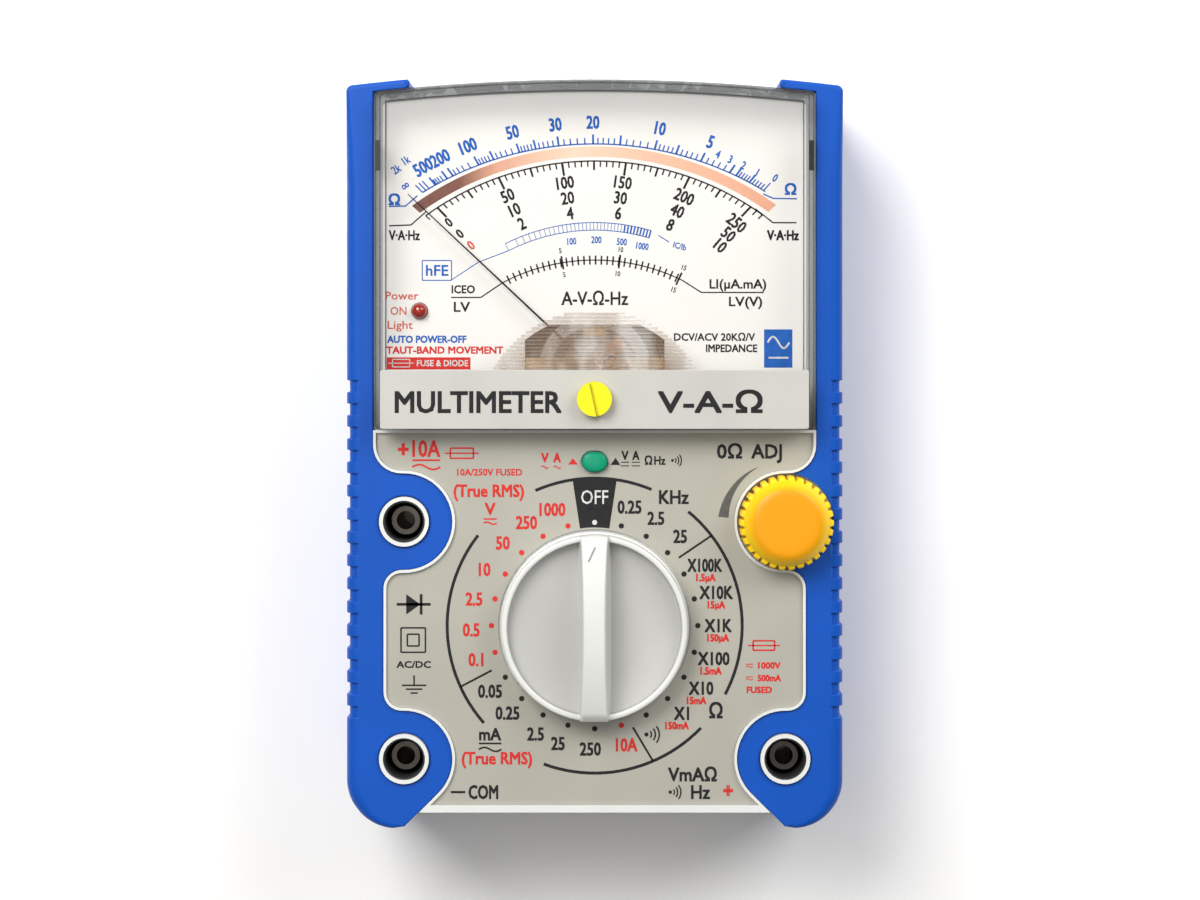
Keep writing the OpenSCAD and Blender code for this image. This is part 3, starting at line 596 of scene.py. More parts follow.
def boot_outer_path():
    """(x, y, edge radius, notch) along the right half's outside, from the tab's inner end to the foot."""
    tab_y = crown(TAB_X) + TAB_T
    corner = HALF_W - CORNER_R
    side_y = crown(corner) + TAB_T - CORNER_R
    r = HALF_W - FOOT_CORNER[0]
    swell_l = 18
    path = [(TAB_X, y, 0.6, 0) for y in (crown(TAB_X) + 0.6, tab_y - 0.5)]
    path += [(x, y, TAB_R, 0) for x, y in crown_points(TAB_X + 0.4, corner, TAB_T, 6)]
    path += [(x, y, TAB_R, 0) for x, y in arc((corner, side_y), CORNER_R, 80, 0, 6)]
    for y, notch in grip_samples():
        blend = min(1, max(0, (side_y - y) / swell_l))
        path.append((HALF_W, y, TAB_R + (BOOT_R - TAB_R) * blend, notch))
    foot = arc((FOOT_CORNER[0], BOOT_LOW.y + r), r, 0, -90, 20)
    for i, (x, y) in enumerate(foot):
        path.append((x, y, BOOT_R - (BOOT_R - TAB_R) * max(0, i - 8) / 12, 0))
    return path


def boot_window_path(d):
    """Inner edge of the boot's rim on the right half, from the foot's tip to the tab."""
    tip = [(foot_x(-d, y), y) for y in (BOOT_LOW.y + 0.5, -80.5, -78.0)]
    return tip + wavy_half(-d)[::-1] + crown_points(WINDOW_X + d, TAB_X + 0.8, d, 4)


def boot_case_path(gap):
    """Inside of the boot's wall on the right half, from the foot's tip to the tab."""
    x = CASE_X + gap
    tip = [(foot_x(0, BOOT_LOW.y + 0.5), BOOT_LOW.y + 0.5), (foot_x(0, FOOT_Y) + 0.3, FOOT_Y - gap)]
    foot = arc(FOOT_CORNER, FOOT_CORNER[1] - FOOT_Y + gap, -90, 0, 10)
    corner = arc((x - CORNER_R, crown(x - CORNER_R) + gap - CORNER_R), CORNER_R, 0, 90, 4)
    return tip + foot + corner + crown_points(x - 3, TAB_X + 0.8, gap, 4)


def outer_ring(outer, step, steps, front, extra=0.0):
    """Outside points part way round the front or back edge, where a is 0 on the wall and 90 on the face."""
    a = math.radians(90 * step / steps)
    radii = [p[2] if front else BACK_R * p[2] / BOOT_R for p in outer]
    xy = inset([p[:2] for p in outer], [q - q * math.cos(a) + extra for q in radii], closed=False)
    out = []
    for (x, y), q, p in zip(xy, radii, outer):
        lift = q - q * math.sin(a)
        z = BOOT_HIGH.z - lift if front else lift
        bite = GRIP_DEPTH * p[3] if front and step < steps else 0
        out.append((x - bite * math.cos(a), y, z - bite * math.sin(a)))
    return out


def boot_side(shell, side):
    """One wall of the boot with its rim, tab and foot. side is 1 on the right and -1 on the left."""
    start = len(shell.bm.verts)
    outer = boot_outer_path()
    n_out = len(outer)

    def level(outside, inside, z):
        return shell.ring(outside + [(x, y, z) for x, y in inside])

    def wall(z, depth):
        return [(p[0] - depth * p[3], p[1], z) for p in outer]
    # The back edge runs from flat to upright, and the notches start a little above it
    lower = []
    for k in range(WALL_EDGE_STEPS + 1):
        gap = 0.3 if k < WALL_EDGE_STEPS else FIT
        lower.append(level(outer_ring(outer, WALL_EDGE_STEPS - k, WALL_EDGE_STEPS, False),
                           boot_case_path(gap), 0.08 * k))
    case_path = boot_case_path(FIT)
    for z, depth in ((GRIP_Z, 0), (GRIP_Z + 0.4, GRIP_DEPTH)):
        lower.append(level(wall(z, depth), case_path, z))
    lower.append(level(outer_ring(outer, 0, RIM_EDGE_STEPS, True), case_path, LEDGE_Z))
    shell.stack(lower)
    shell.cap(lower[0])
    upper = []
    for k in range(RIM_EDGE_STEPS + 1):
        a = math.radians(90 * max(0, k - 2) / (RIM_EDGE_STEPS - 2))
        bend, rise = (RIM_R - RIM_R * math.cos(a), RIM_R * math.sin(a)) if k > 1 else (0, 0)
        z = BOOT_HIGH.z - RIM_R + rise if k else LEDGE_Z
        upper.append(level(outer_ring(outer, k, RIM_EDGE_STEPS, True), boot_window_path(FIT + bend), z))
    upper.append(level(outer_ring(outer, RIM_EDGE_STEPS, RIM_EDGE_STEPS, True, RIM_R),
                       boot_window_path(2 * RIM_R), BOOT_HIGH.z))
    shell.stack(upper)
    hole_feet, hole_tops = [], []
    for c in [VMA] if side > 0 else [TEN_AMP, COM]:
        foot, top = shell.walls(lambda d: circle((abs(c.x), c.y), SOCKET_HOLE_R + d, 48),
                                [(0.0, LEDGE_Z)] + fillet(0.5, BOOT_HIGH.z, 4))
        hole_feet.append(foot)
        hole_tops.append(top)
    shell.cap(upper[-1], *hole_tops)
    # Underside of the rim, which rests on the case's ledge
    shell.cap(lower[-1][n_out:] + upper[0][:n_out - 1:-1], *hole_feet)
    if side < 0:
        shell.mirror(start)


def boot_back(shell):
    """The boot's back plate with its window. The plate reaches into the walls."""
    top, reach = 2.4, 0.29
    foot = foot_x(0, FOOT_Y) + 0.35
    half = crown_points(0, CASE_X + reach, reach, 12)
    half += arc(FOOT_CORNER, FOOT_CORNER[1] - FOOT_Y + reach, 0, -90, 12)
    half += [(foot, FOOT_Y - reach), (foot, FOOT_Y), (0, FOOT_Y)]
    path = mirrored(half)[:-1]
    outline = [p for i, p in enumerate(path) if i == 0 or math.dist(p, path[i - 1]) > 1e-6]
    half_w, low_y, high_y, corner = 40, -72, 74, 6

    def window(d):
        return rounded_rect((d - half_w, low_y + d), (half_w - d, high_y - d), corner - d, 8)
    outer = shell.walls(lambda d: inset(outline, d), ((0, 0), (0.12, 0.3), (0.12, top)))
    inner = shell.walls(window, ((-0.8, 0), (-0.25, 0.25), (0, 0.8), (0, top)))
    for loops in zip(outer, inner):
        shell.cap(*loops)


def cut_knob_bay(shell):
    """Opens the rim round the ohm knob, down to the case's ledge."""
    drill = Shell()
    drill.solid([drill.ring(circle(OHM, BAY_R, 96), z) for z in (LEDGE_Z - 0.02, BOOT_HIGH.z + 1)])
    part = add_object("uncut", shell.mesh("uncut"))
    tool = add_object("drill", drill.mesh("drill"))
    cut = part.modifiers.new("bay", "BOOLEAN")
    cut.operation = "DIFFERENCE"
    cut.solver = "EXACT"
    cut.object = tool
    seen = part.evaluated_get(bpy.context.evaluated_depsgraph_get())
    result = bpy.data.meshes.new_from_object(seen)
    shell.bm.from_mesh(result)
    spare = [part.data, tool.data, result]
    for obj in (part, tool):
        bpy.data.objects.remove(obj)
    for mesh in spare:
        bpy.data.meshes.remove(mesh)


def make_boot():
    shell = Shell()
    boot_side(shell, 1)
    cut_knob_bay(shell)
    boot_side(shell, -1)
    boot_back(shell)
    shell.piece("boot_shell", ["boot"], "case", replaces=("holster",), slot="boot", sharp=38)


# ---------------------------------------------------------------- knobs and button
BAR_CROWN_R = 60


def selector_dish(c, low, disc_r, floor_z):
    """Skirt, wall, rim and sunken floor of the selector."""
    skirt_r = disc_r + 0.4
    floor_r = disc_r - 1.3
    rim_z = low.z + 6.7
    profile = [(5.0, low.z + 0.6), (skirt_r - 1.0, low.z + 0.6), (skirt_r - 0.8, low.z)]
    profile += [(skirt_r - d, z) for d, z in fillet(0.3, low.z, 3, up=False)[::-1]]
    profile += [(skirt_r - d, z) for d, z in fillet(0.4, low.z + 1.6, 3)]
    profile += [(disc_r, low.z + 1.75), (disc_r, rim_z - 0.5)]
    profile += [(disc_r - d, z) for d, z in fillet(0.5, rim_z, 5)]
    profile += [(floor_r + d, z) for d, z in fillet(0.45, rim_z, 5)[::-1]]
    profile += [(floor_r - 0.15, floor_z + 1.6)]
    for i in range(13):
        t = i / 12
        rise = 1 - math.sin(math.pi / 2 * min(1, t * 2.2))
        profile.append((floor_r * (1 - t) + 0.4 * t, floor_z + 0.9 * rise))
    shell = Shell()
    lathe(shell, c, profile, 128)
    # The sunken floors take the second, darker material: painted shade of the recess.
    for f in shell.bm.faces:
        spot = f.calc_center_median() / MM
        if math.dist(spot.xy, c) < floor_r - 0.05 and spot.z > low.z + 2:
            f.material_index = 1
    return shell


def selector_bar(shell, c, disc_r, floor_z, top_z):
    """Crowned grip from rim to rim, narrower at its top."""
    foot_half, top_half, edge = 3.75, 2.45, 0.55
    lean = (foot_half - top_half) / (top_z - floor_z)
    half_l = disc_r - 0.25
    end_l, end_drop = 1.2, 0.9
    rings = []
    for y in even(-half_l, half_l, 40):
        end = max(0, (abs(y) - (half_l - end_l)) / end_l)
        height = arch(top_z, BAR_CROWN_R, y) - end_drop * end ** 2
        reach = math.sqrt(max(0.01, disc_r ** 2 - y * y))
        half_at = foot_half - lean * (height - floor_z)
        side = [(min(foot_half, reach), floor_z - 0.8)]
        for x, z in arc((half_at - edge, height - edge), edge, 0, 90, 6):
            side.append((min(reach, x), z))
        side += [(-x, z) for x, z in reversed(side)]
        rings.append(shell.ring([(c[0] + x, c[1] + y, z) for x, z in side]))
    shell.solid(rings)


def selector_mark(c, top_z):
    """Slanting index groove near the bar's upper end, drawn as a thin grey slab: the grey is painted shade of
    the groove.
    """
    thick, sunk, half_w = 0.12, 0.05, 0.2
    start, end = Vector((c[0] + 0.2, c[1] + 18.0)), Vector((c[0] - 1.25, c[1] + 14.9))
    along = (end - start).normalized()
    across = Vector((along.y, -along.x)) * half_w
    mark = Shell()
    rings = []
    for t in (0, 0.5, 1):
        p = start.lerp(end, t)
        z = arch(top_z, BAR_CROWN_R, p.y - c[1]) - sunk
        corners = [(p + across, z), (p - across, z), (p - across, z + thick), (p + across, z + thick)]
        rings.append(mark.ring([(q.x, q.y, h) for q, h in corners]))
    mark.solid(rings)
    mark.piece("selector_mark", ["ink_grey"], "selector", slot="knob", weighted=False)


def make_selector():
    low, high = cad_box("selector_knob")
    c = (SELECTOR.x, SELECTOR.y)
    disc_r = high.x - 0.4
    floor_z = low.z + 3.4
    shell = selector_dish(c, low, disc_r, floor_z)
    selector_bar(shell, c, disc_r, floor_z, high.z)
    shell.piece("selector_grip", ["knob", "knob_floor"], "selector", replaces=("selector_knob",), slot="knob")
    selector_mark(c, high.z)


def make_ohm_knob():
    """Flat face, rounded shoulder and a ring of rounded teeth."""
    low, high = cad_box("ohm_knob")
    teeth, r_tip, r_root, r_face = 30, 10.3, 9.4, 7.9
    flank_z = high.z - 3
    profile = [(3.2, low.z + 0.5), (r_root - 0.9, low.z + 0.5), (r_root - 0.7, low.z), (r_tip - 0.35, low.z)]
    profile += [(r_tip - 0.1, low.z + 0.12), (r_tip, low.z + 0.35), (r_tip, flank_z - 0.8)]
    profile += [(r_tip - d, z) for d, z in fillet(0.75, flank_z + 0.1, 6)]
    profile += [(r_root, flank_z + 0.15), (r_root - 0.2, flank_z + 0.6), (r_root - 0.5, flank_z + 1.2)]
    profile += [(r_root - 0.85, flank_z + 1.75)]
    profile += [(r_face + d, flank_z + z) for d, z in ((0.2, 2.2), (-0.25, 2.6), (-0.75, 2.85), (-1.3, 2.97))]
    profile += [(r_face - 1.9, high.z)]
    profile += [(r_face * t, high.z) for t in (0.6, 0.3, 0.05)]

    def wave(k, angle):
        """Gap between two teeth, as deep as the ring reaches past the root."""
        from_gap = abs((angle * teeth / 360) % 1 - 0.5)
        t = min(1, max(0, (from_gap - 0.08) / 0.16))
        return -max(0, profile[k][0] - r_root) * (1 - smooth(t))
    shell = Shell()
    lathe(shell, OHM, profile, teeth * 16, wave)
    shell.piece("ohm_grip", ["ohm"], "ohm_dial", replaces=("ohm_knob",), slot="ohm_knob", sharp=50)


def make_button():
    low, high = cad_box("mode_button")
    x, y = BUTTON.xy
    r, half = 2.225, 0.625

    def outline(d):
        return arc((x + half, y), r - d, 90, -90, 20) + arc((x - half, y), r - d, -90, -270, 20)
    shell = Shell()
    levels = [(0.0, low.z + 6.5), (0.0, high.z - 0.9)] + fillet(0.8, high.z - 0.15, 6)[1:]
    levels += [(1.2, high.z - 0.05), (1.8, high.z)]
    for loop in shell.walls(outline, levels):
        shell.cap(loop)
    shell.piece("button_cap", ["green"], "button", replaces=("mode_button",), slot="button")


# ---------------------------------------------------------------- dial window
GLASS_T = 1.8
LENS_STEP = 1.3
LENS_WALL_T = 1.1


def glass_outline(size):
    """Closed outline of the window. size is its half width, how far it lies inside the arch, and its foot."""
    half_x, inside, foot_y = size
    corner = 0.8
    top = crown(half_x) - inside
    half = crown_points(0, half_x - corner, -inside, 12)
    half += arc((half_x - corner, top - corner), corner, 80, 0, 4)
    half += arc((half_x - corner, foot_y + corner), corner, 0, -90, 4)
    return mirrored(half)[1:]


def make_lens():
    """Clear cover: flange, upright wall, bevelled edge and flat window, hollow underneath."""
    z_step = GLASS_LOW.z + 3
    top, foot = GLASS_HIGH.z, GLASS_LOW.y
    ceiling = top - GLASS_T
    hx = GLASS_HIGH.x
    body_x = hx - LENS_STEP
    inside_x = body_x - LENS_WALL_T
    flat_x = 46.3
    shell = Shell()
    levels = [
        ((hx, 0, foot), LEDGE_Z), ((hx, 0, foot), z_step - 0.25), ((hx - 0.25, 0.2, foot + 0.1), z_step),
        ((body_x + 0.15, 0.8, foot + 0.1), z_step), ((body_x, 0.95, foot + 0.15), z_step + 0.2),
        ((body_x - 0.05, 1.0, foot + 0.2), top - 1.3), ((body_x - 0.15, 1.25, foot + 0.3), top - 0.95),
        ((flat_x + 0.25, 3.0, foot + 0.8), top - 0.1), ((flat_x, 3.4, foot + 1.1), top)]
    cavity = [((inside_x - d, 2.2 + d, foot + GLASS_T + d), z)
              for d, z in ((0, LEDGE_Z), (0, ceiling - 0.5), (0.15, ceiling - 0.15), (0.5, ceiling))]
    outer = shell.walls(glass_outline, levels, slot=1)
    inner = shell.walls(glass_outline, cavity, slot=2)
    hole = shell.walls(lambda r: circle(ADJUSTER, r), [(2.25, ceiling), (2.25, top)], slot=2)
    shell.cap(outer[1], hole[1])
    shell.cap(inner[1], hole[0], slot=2)
    shell.cap(outer[0], inner[0], slot=2)
    shell.piece("lens_cover", ["lens", "lens_edge", "lens_inside"], "case", replaces=("meter_lens",),
                slot="lens")


def make_name_strip():
    low, high = STRIP_LOW, STRIP_HIGH
    shell = Shell()

    def outline(d):
        return rounded_rect((d - high.x, low.y + d), (high.x - d, high.y - d), 0.5, 4)
    edge = shell.walls(outline, [(0.0, low.z)] + fillet(0.15, high.z, 3))
    hole = shell.walls(lambda r: circle(ADJUSTER, r), [(2.4, low.z), (2.4, high.z)])
    for loops in zip(edge, hole):
        shell.cap(*loops)
    shell.piece("strip_plate", ["strip"], "case", replaces=("name_strip",), slot="strip")


def make_ribs():
    """Half round of fine ribs moulded under the window, over the movement."""
    c_y, r, pitch = 6.0, 25.6, 0.8
    z = GLASS_HIGH.z - GLASS_T
    shell = Shell()
    y = STRIP_HIGH.y - 1.0
    while y < c_y + r - 0.5:
        half = math.sqrt(r * r - (y + pitch / 2 - c_y) ** 2)
        rings = []
        for dy, dz in ((0.04, 0.0), (0.2, 0.42), (0.4, 0.55), (0.6, 0.42), (0.76, 0.0)):
            rings.append(shell.ring([(x, y + dy, z - dz) for x in (-half, half)]))
        shell.stack(rings, closed=False)
        shell.skin(rings[-1], rings[0], closed=False)
        for k in (0, -1):
            shell.bm.faces.new([g[k] for g in rings])
        y += pitch
    shell.piece("lens_ribs", ["ribs"], "case", slot="lens", weighted=False, sharp=60)


# ---------------------------------------------------------------- printing
def lettering(words, extrude=0.0):
    """Mesh of some words in the built-in face at size 1."""
    data = bpy.data.curves.new("lettering", "FONT")
    data.body = words
    data.resolution_u = 2
    data.extrude = extrude
    obj = bpy.data.objects.new("lettering", data)
    mesh = bpy.data.meshes.new_from_object(obj)
    bpy.data.objects.remove(obj)
    bpy.data.curves.remove(data)
    return mesh


def extent(mesh, axis):
    """Lowest and highest vertex along an axis."""
    values = [v.co[axis] for v in mesh.vertices]
    return min(values), max(values)


def cap_height():
    """Height of a capital letter in the built-in face at size 1."""
    mesh = lettering("H")
    low, high = extent(mesh, 1)
    bpy.data.meshes.remove(mesh)
    return high - low


CAP = cap_height()


class Print:
    """Thin printed marks, gathered into one piece for each ink."""
    THICK = 0.03
    LIFT = 0.002

    def __init__(self, z):
        self.z = z
        self.inks = {}

    def mesh(self, ink):
        return self.inks.setdefault(ink, bmesh.new())

    def polygon(self, ink, points):
        """Closed thin slab from a convex or concave outline."""
        bm = self.mesh(ink)
        low, high = ([bm.verts.new((x * MM, y * MM, z * MM)) for x, y in points]
                     for z in (self.z, self.z + self.THICK))
        n = len(points)
        bm.faces.new(high)
        bm.faces.new(low[::-1])
        for i in range(n):
            j = (i + 1) % n
            bm.faces.new((low[i], low[j], high[j], high[i]))

    def box(self, ink, x0, y0, x1, y1):
        self.polygon(ink, [(x0, y0), (x1, y0), (x1, y1), (x0, y1)])

    def bar(self, ink, a, b, width):
        a, b = Vector(a), Vector(b)
        side = Vector((b.y - a.y, a.x - b.x)).normalized() * width / 2
        self.polygon(ink, [a + side, b + side, b - side, a - side])

    def line(self, ink, points, width):
        for a, b in zip(points, points[1:]):
            self.bar(ink, a, b, width)

    def flat(self, ink, x, y, half, width):
        """Level bar round its middle."""
        self.bar(ink, (x - half, y), (x + half, y), width)

    def wave(self, ink, x, y, length, height, width, n):
        """Sine wave round its middle."""
        self.line(ink, [(x + length * (i / n - 0.5), y + height * math.sin(2 * math.pi * i / n))
                        for i in range(n + 1)], width)

    def band(self, ink, c, r0, r1, a0, a1, n=None):
        """Part of a ring, angles in degrees anticlockwise from +X."""
        n = n or max(2, int(abs(a1 - a0) / 3))
        angles = even(a0, a1, n)
        for s, e in zip(angles, angles[1:]):
            self.polygon(ink, arc(c, r0, s, e, 1) + arc(c, r1, e, s, 1))

    def dot(self, ink, c, r):
        self.polygon(ink, circle(c, r, 20))

    def frame(self, ink, x0, y0, x1, y1, width):
        for y in (y0, y1):
            self.bar(ink, (x0, y), (x1, y), width)
        for x in (x0, x1):
            self.bar(ink, (x, y0), (x, y1), width)

    def text(self, ink, words, x, y, height, angle=0.0, narrow=0.86, width=None, bold=0.2):
        """Lettering centred on (x, y), squeezed or set to a width. Strokes grow by bold."""
        mesh = lettering(words, self.THICK / 2 / height)
        left, right = extent(mesh, 0)
        scale = height / CAP
        wide = (width - bold) / (right - left) if width else scale * narrow
        mesh.transform(Matrix.Rotation(math.radians(angle), 4, "Z")
                       @ Matrix.Diagonal((wide * MM, scale * MM, height * MM, 1))
                       @ Matrix.Translation((-(left + right) / 2, -CAP / 2, 0)))
        moved = Vector((0, 0, 0))
        for k, (dx, dy) in enumerate(((-1, -1), (1, -1), (1, 1), (-1, 1))):
            z = self.z + self.THICK / 2 + self.LIFT * k
            place = Vector((x + dx * bold / 2, y + dy * bold / 2, z))
            mesh.transform(Matrix.Translation((place - moved) * MM))
            moved = place
            self.mesh(ink).from_mesh(mesh)
        bpy.data.meshes.remove(mesh)

    def texts(self, ink, bold, *rows):
        """Level texts in one ink and weight. rows hold (words, x, y, height, width)."""
        for words, x, y, height, width in rows:
            self.text(ink, words, x, y, height, width=width, bold=bold)

    def finish(self, name):
        for ink, bm in self.inks.items():
            mesh = bpy.data.meshes.new(name)
            bmesh.ops.recalc_face_normals(bm, faces=bm.faces)
            bm.to_mesh(mesh)
            bm.free()
            finish_piece(mesh, name + "_" + ink, ["ink_" + ink], "case", slot="panel", weighted=False)


ARC_R = 32.6
DOT_R = 22.8
NAME_R = 27.3


def around(angle, r):
    """Point at a clockwise angle from the top, round the selector."""
    a = math.radians(angle)
    return SELECTOR.x + r * math.sin(a), SELECTOR.y + r * math.cos(a)


def sound_waves(p, x, y, size, stroke):
    """Small sign of a dot and three waves, centred on (x, y)."""
    c = (x - size * 0.5, y)
    p.dot("black", c, size * 0.16)
    for k in (0.32, 0.62, 0.92):
        p.band("black", c, size * k, size * k + stroke, -40, 40, 6)


def wave_sign(p, ink, x, y, w, stroke=0.32):
    """Bar over a tilde: direct and alternating current."""
    gap = 0.07 * w + stroke * 0.8
    p.wave(ink, x, y - gap, w, 0.09 * w, stroke, 10)
    p.flat(ink, x, y + gap, w / 2, stroke)


def fuse_sign(p, ink, x0, x1, y, stroke=0.35):
    """Box with a line through it, reaching from x0 to x1."""
    side, tall = (x1 - x0) * 0.16, (x1 - x0) * 0.15
    p.frame(ink, x0 + side, y - tall, x1 - side, y + tall, stroke)
    p.bar(ink, (x0, y), (x1, y), stroke * 0.85)


def print_selector_ring(p):
    """Dots, arcs, dividing lines and the OFF field round the selector."""
    for angle in range(15, 360, 15):
        red = 250 < angle < 350 or angle == 165
        p.dot("red" if red else "black", around(angle, DOT_R), 0.6)
    for start, end in ((-23.7, 22.7), (39.4, 117.8), (133.9, 200.2), (228.7, 307.8)):
        p.band("black", SELECTOR, ARC_R - 0.34, ARC_R + 0.34, 90 - end, 90 - start)
    for a0, r0, a1 in ((51.1, 23.9, 52.4), (159.4, 24.0, 156.7), (246.5, 24.8, 245.5)):
        p.bar("black", around(a0, r0), around(a1, ARC_R), 0.45)
    half_field = 8.6
    p.band("black", SELECTOR, 21.7, ARC_R - 0.3, 90 - half_field, 90 + half_field, 8)


def print_selector_names(p):
    """Range numbers, and the small currents under the ohm ranges."""
    names = {
        "black": [(16.4, "0.25"), (29.7, "2.5"), (43.8, "25"), (90, "X1K"), (105.5, "X100"), (120.5, "X10"),
                  (135.3, "X1"), (182.0, "250"), (197.3, "25"), (208.6, "2.5"), (224.9, "0.25"),
                  (237.9, "0.05")],
        "red": [(165, "10A"), (254, "0.1"), (268, "0.5"), (282.4, "2.5"), (297, "10"), (312, "50"),
                (326.5, "250"), (340, "1000")]}
    for ink, group in names.items():
        for angle, words in group:
            p.text(ink, words, *around(angle, NAME_R), 2.75, narrow=0.78)
    for angle, words, shift, narrow in ((60.8, "X100K", 0.5, 0.65), (74.5, "X10K", 0.55, 0.76)):
        x, y = around(angle, NAME_R)
        p.text("black", words, x + shift, y, 2.75, narrow=narrow)
    for angle, words, shift in ((60.8, "1.5µA", 0.75), (74.5, "15µA", 0.6), (90, "150µA", 0.0),
                                (105.5, "1.5mA", -0.6), (120.5, "15mA", -1.0), (135.3, "150mA", -1.0)):
        x, y = around(angle, NAME_R)
        p.text("red", words, x + shift, y - 2.7, 1.5, narrow=0.84)
    sound_waves(p, *around(151.8, NAME_R), 2.9, 0.35)


def print_corner_names(p):
    """Names of the sockets, of the range groups and of the ohm adjuster."""
    p.texts("black", 0.2, ("KHz", 17.5, -9.6, 2.9, 6.6), ("Ω", 26.8, -56.8, 3.2, 3.0),
            ("mA", -23.1, -62.0, 2.6, 4.9), ("0Ω", 29.8, 0.5, 3.0, 5.6), ("ADJ", 38.0, 0.5, 3.0, 6.8),
            ("COM", -24.6, -74.8, 2.9, 6.6), ("VmAΩ", 21.6, -70.9, 2.9, 10.8), ("Hz", 23.4, -74.8, 2.9, 4.2))
    p.texts("red", 0.2, ("(True RMS)", -23.4, -8.2, 2.6, 15.6), ("(True RMS)", -21.6, -67.3, 2.6, 15.6),
            ("V", -23.1, -12.2, 2.5, 2.4), ("10A", -37.2, 1.1, 3.5, 6.2))
    p.texts("red", 0.1, ("10A/250V FUSED", -23.2, -4.1, 1.4, 14.4))
    p.text("red", "+", -42.3, 0.9, 3.4, bold=0.35)
    p.text("red", "+", 29.5, -74.5, 3.0, bold=0.4)
    p.flat("black", -30.2, -74.8, 1.6, 0.5)
    wave_sign(p, "black", -23.1, -64.7, 5.0, 0.38)
    wave_sign(p, "red", -23.1, -14.9, 2.9)
    wave_sign(p, "red", -37.2, -2.2, 6.2, 0.4)
    fuse_sign(p, "red", -33.1, -25.6, 0.1)
    sound_waves(p, 17.9, -74.8, 2.4, 0.32)


def print_adjuster_arc(p):
    """Tapering arc round the ohm knob."""
    n = 24

    def at(k):
        t = k / n
        angle, inner, wide = 176 - 61 * t, 12.5 + 0.9 * t, 2.3 * (1 - t)
        return [arc(OHM, r, angle, angle, 1)[0] for r in (inner, inner + wide)]
    for k in range(n):
        (a, b), (d, e) = at(k), at(k + 1)
        p.polygon("shade", [a, d, e, b])


def print_button_names(p):
    """The two settings of the mode button."""
    p.texts("red", 0.2, ("V", -11.0, -0.9, 1.9, 1.7), ("A", -8.3, -0.9, 1.9, 1.7))
    for x in (-11.0, -8.3):
        p.wave("red", x, -3.0, 1.6, 0.28, 0.25, 8)
    p.polygon("red", [(-5.9, -2.4), (-3.7, -2.4), (-4.8, -1.0)])
    p.polygon("black", [(3.5, -2.5), (5.7, -2.5), (4.6, -0.9)])
    p.texts("black", 0.16, ("V", 6.7, -0.4, 1.9, 1.6), ("A", 9.1, -0.4, 1.9, 1.6))
    for x, y in ((6.7, -1.9), (6.7, -2.7), (9.1, -1.9), (9.1, -2.7)):
        p.flat("black", x, y, 0.9, 0.22)
    p.texts("black", 0.14, ("Ω", 11.9, -1.5, 1.8, 1.7), ("Hz", 14.4, -1.5, 1.8, 2.5))
    sound_waves(p, 18.2, -1.5, 2.0, 0.28)


def print_side_signs(p):
    """Signs at the panel's left and right edges."""
    # Diode: arrow against a bar on a line
    x, y, w, stroke = -40.0, -33.3, 7.5, 0.6
    tall = w * 0.3
    p.flat("black", x, y, w / 2, stroke)
    p.polygon("black", [(x - w * 0.22, y - tall), (x + w * 0.2, y), (x - w * 0.22, y + tall)])
    p.bar("black", (x + w * 0.22, y - tall), (x + w * 0.22, y + tall), stroke)
    # Double square
    x, y = -40.1, -41.2
    for half in (2.7, 1.3):
        p.frame("black", x - half, y - half, x + half, y + half, 0.35)
    p.texts("black", 0.12, ("AC/DC", -40.0, -46.6, 1.4, 7.6))
    # Earth
    x, y = -39.9, -51.2
    p.bar("black", (x, y + 2.2), (x, y), 0.35)
    for k, half in enumerate((2.7, 1.8, 0.8)):
        p.flat("black", x, y - 0.85 * k, half, 0.35)
    fuse_sign(p, "red", 33.9, 40.9, -42.4)
    for y in (-46.8, -49.6):
        wave_sign(p, "red", 34.2, y, 1.6, 0.2)
    p.texts("red", 0.16, ("1000V", 38.6, -46.8, 1.3, 5.0), ("500mA", 38.6, -49.6, 1.3, 5.2),
            ("FUSED", 36.4, -52.2, 1.3, 5.6))


def print_panel():
    p = Print(LABEL_Z)
    print_selector_ring(p)
    print_selector_names(p)
    print_corner_names(p)
    print_adjuster_arc(p)
    print_button_names(p)
    print_side_signs(p)
    p.z += Print.THICK
    p.texts("white", 0.04, ("OFF", SELECTOR.x, SELECTOR.y + 28.4, 3.0, 6.0))
    p.dot("white", around(0, DOT_R), 0.55)
    p.finish("panel_print")


def print_strip():
    p = Print(STRIP_HIGH.z)
    y = ADJUSTER.y - 0.7
    p.texts("black", 0.3, ("MULTIMETER", -25.4, y, 4.5, 36.5), ("V-A-Ω", 25.3, y, 4.5, 22.9))
    p.finish("strip_print")


# Dial arcs: (radius, height of centre)
OHM_ARC = (73.2, -4.5)
MIRROR_ARC = (67.9, -0.9)
VOLT_ARC = (64.1, 0.8)
GAIN_ARC = (44.2, 7.1)
LEAK_ARC = (44.2, -1.3)
SWEEP_START = -44.2
SWEEP = 88.0


def on_arc(curve, angle, lift=0.0):
    """Where the pointer's line at a clockwise angle crosses a scale arc, or a curve lift outside it."""
    r, cy = curve[0] + lift, curve[1]
    a = math.radians(angle)
    dx, dy = math.sin(a), math.cos(a)
    off = PIVOT.y - cy
    t = -off * dy + math.sqrt(max(0, r * r - (off * dx) ** 2))
    return dx * t, PIVOT.y + dy * t


def scale_angle(f):
    return SWEEP_START + SWEEP * f


def scale_line(p, ink, curve, f0, f1, width):
    p.line(ink, [on_arc(curve, scale_angle(f)) for f in even(f0, f1, 48)], width)


def tick(p, ink, curve, f, length, width):
    """Tick at a share f of the sweep, outwards, or inwards if its length is negative."""
    a = scale_angle(f)
    p.bar(ink, on_arc(curve, a), on_arc(curve, a, length), width)


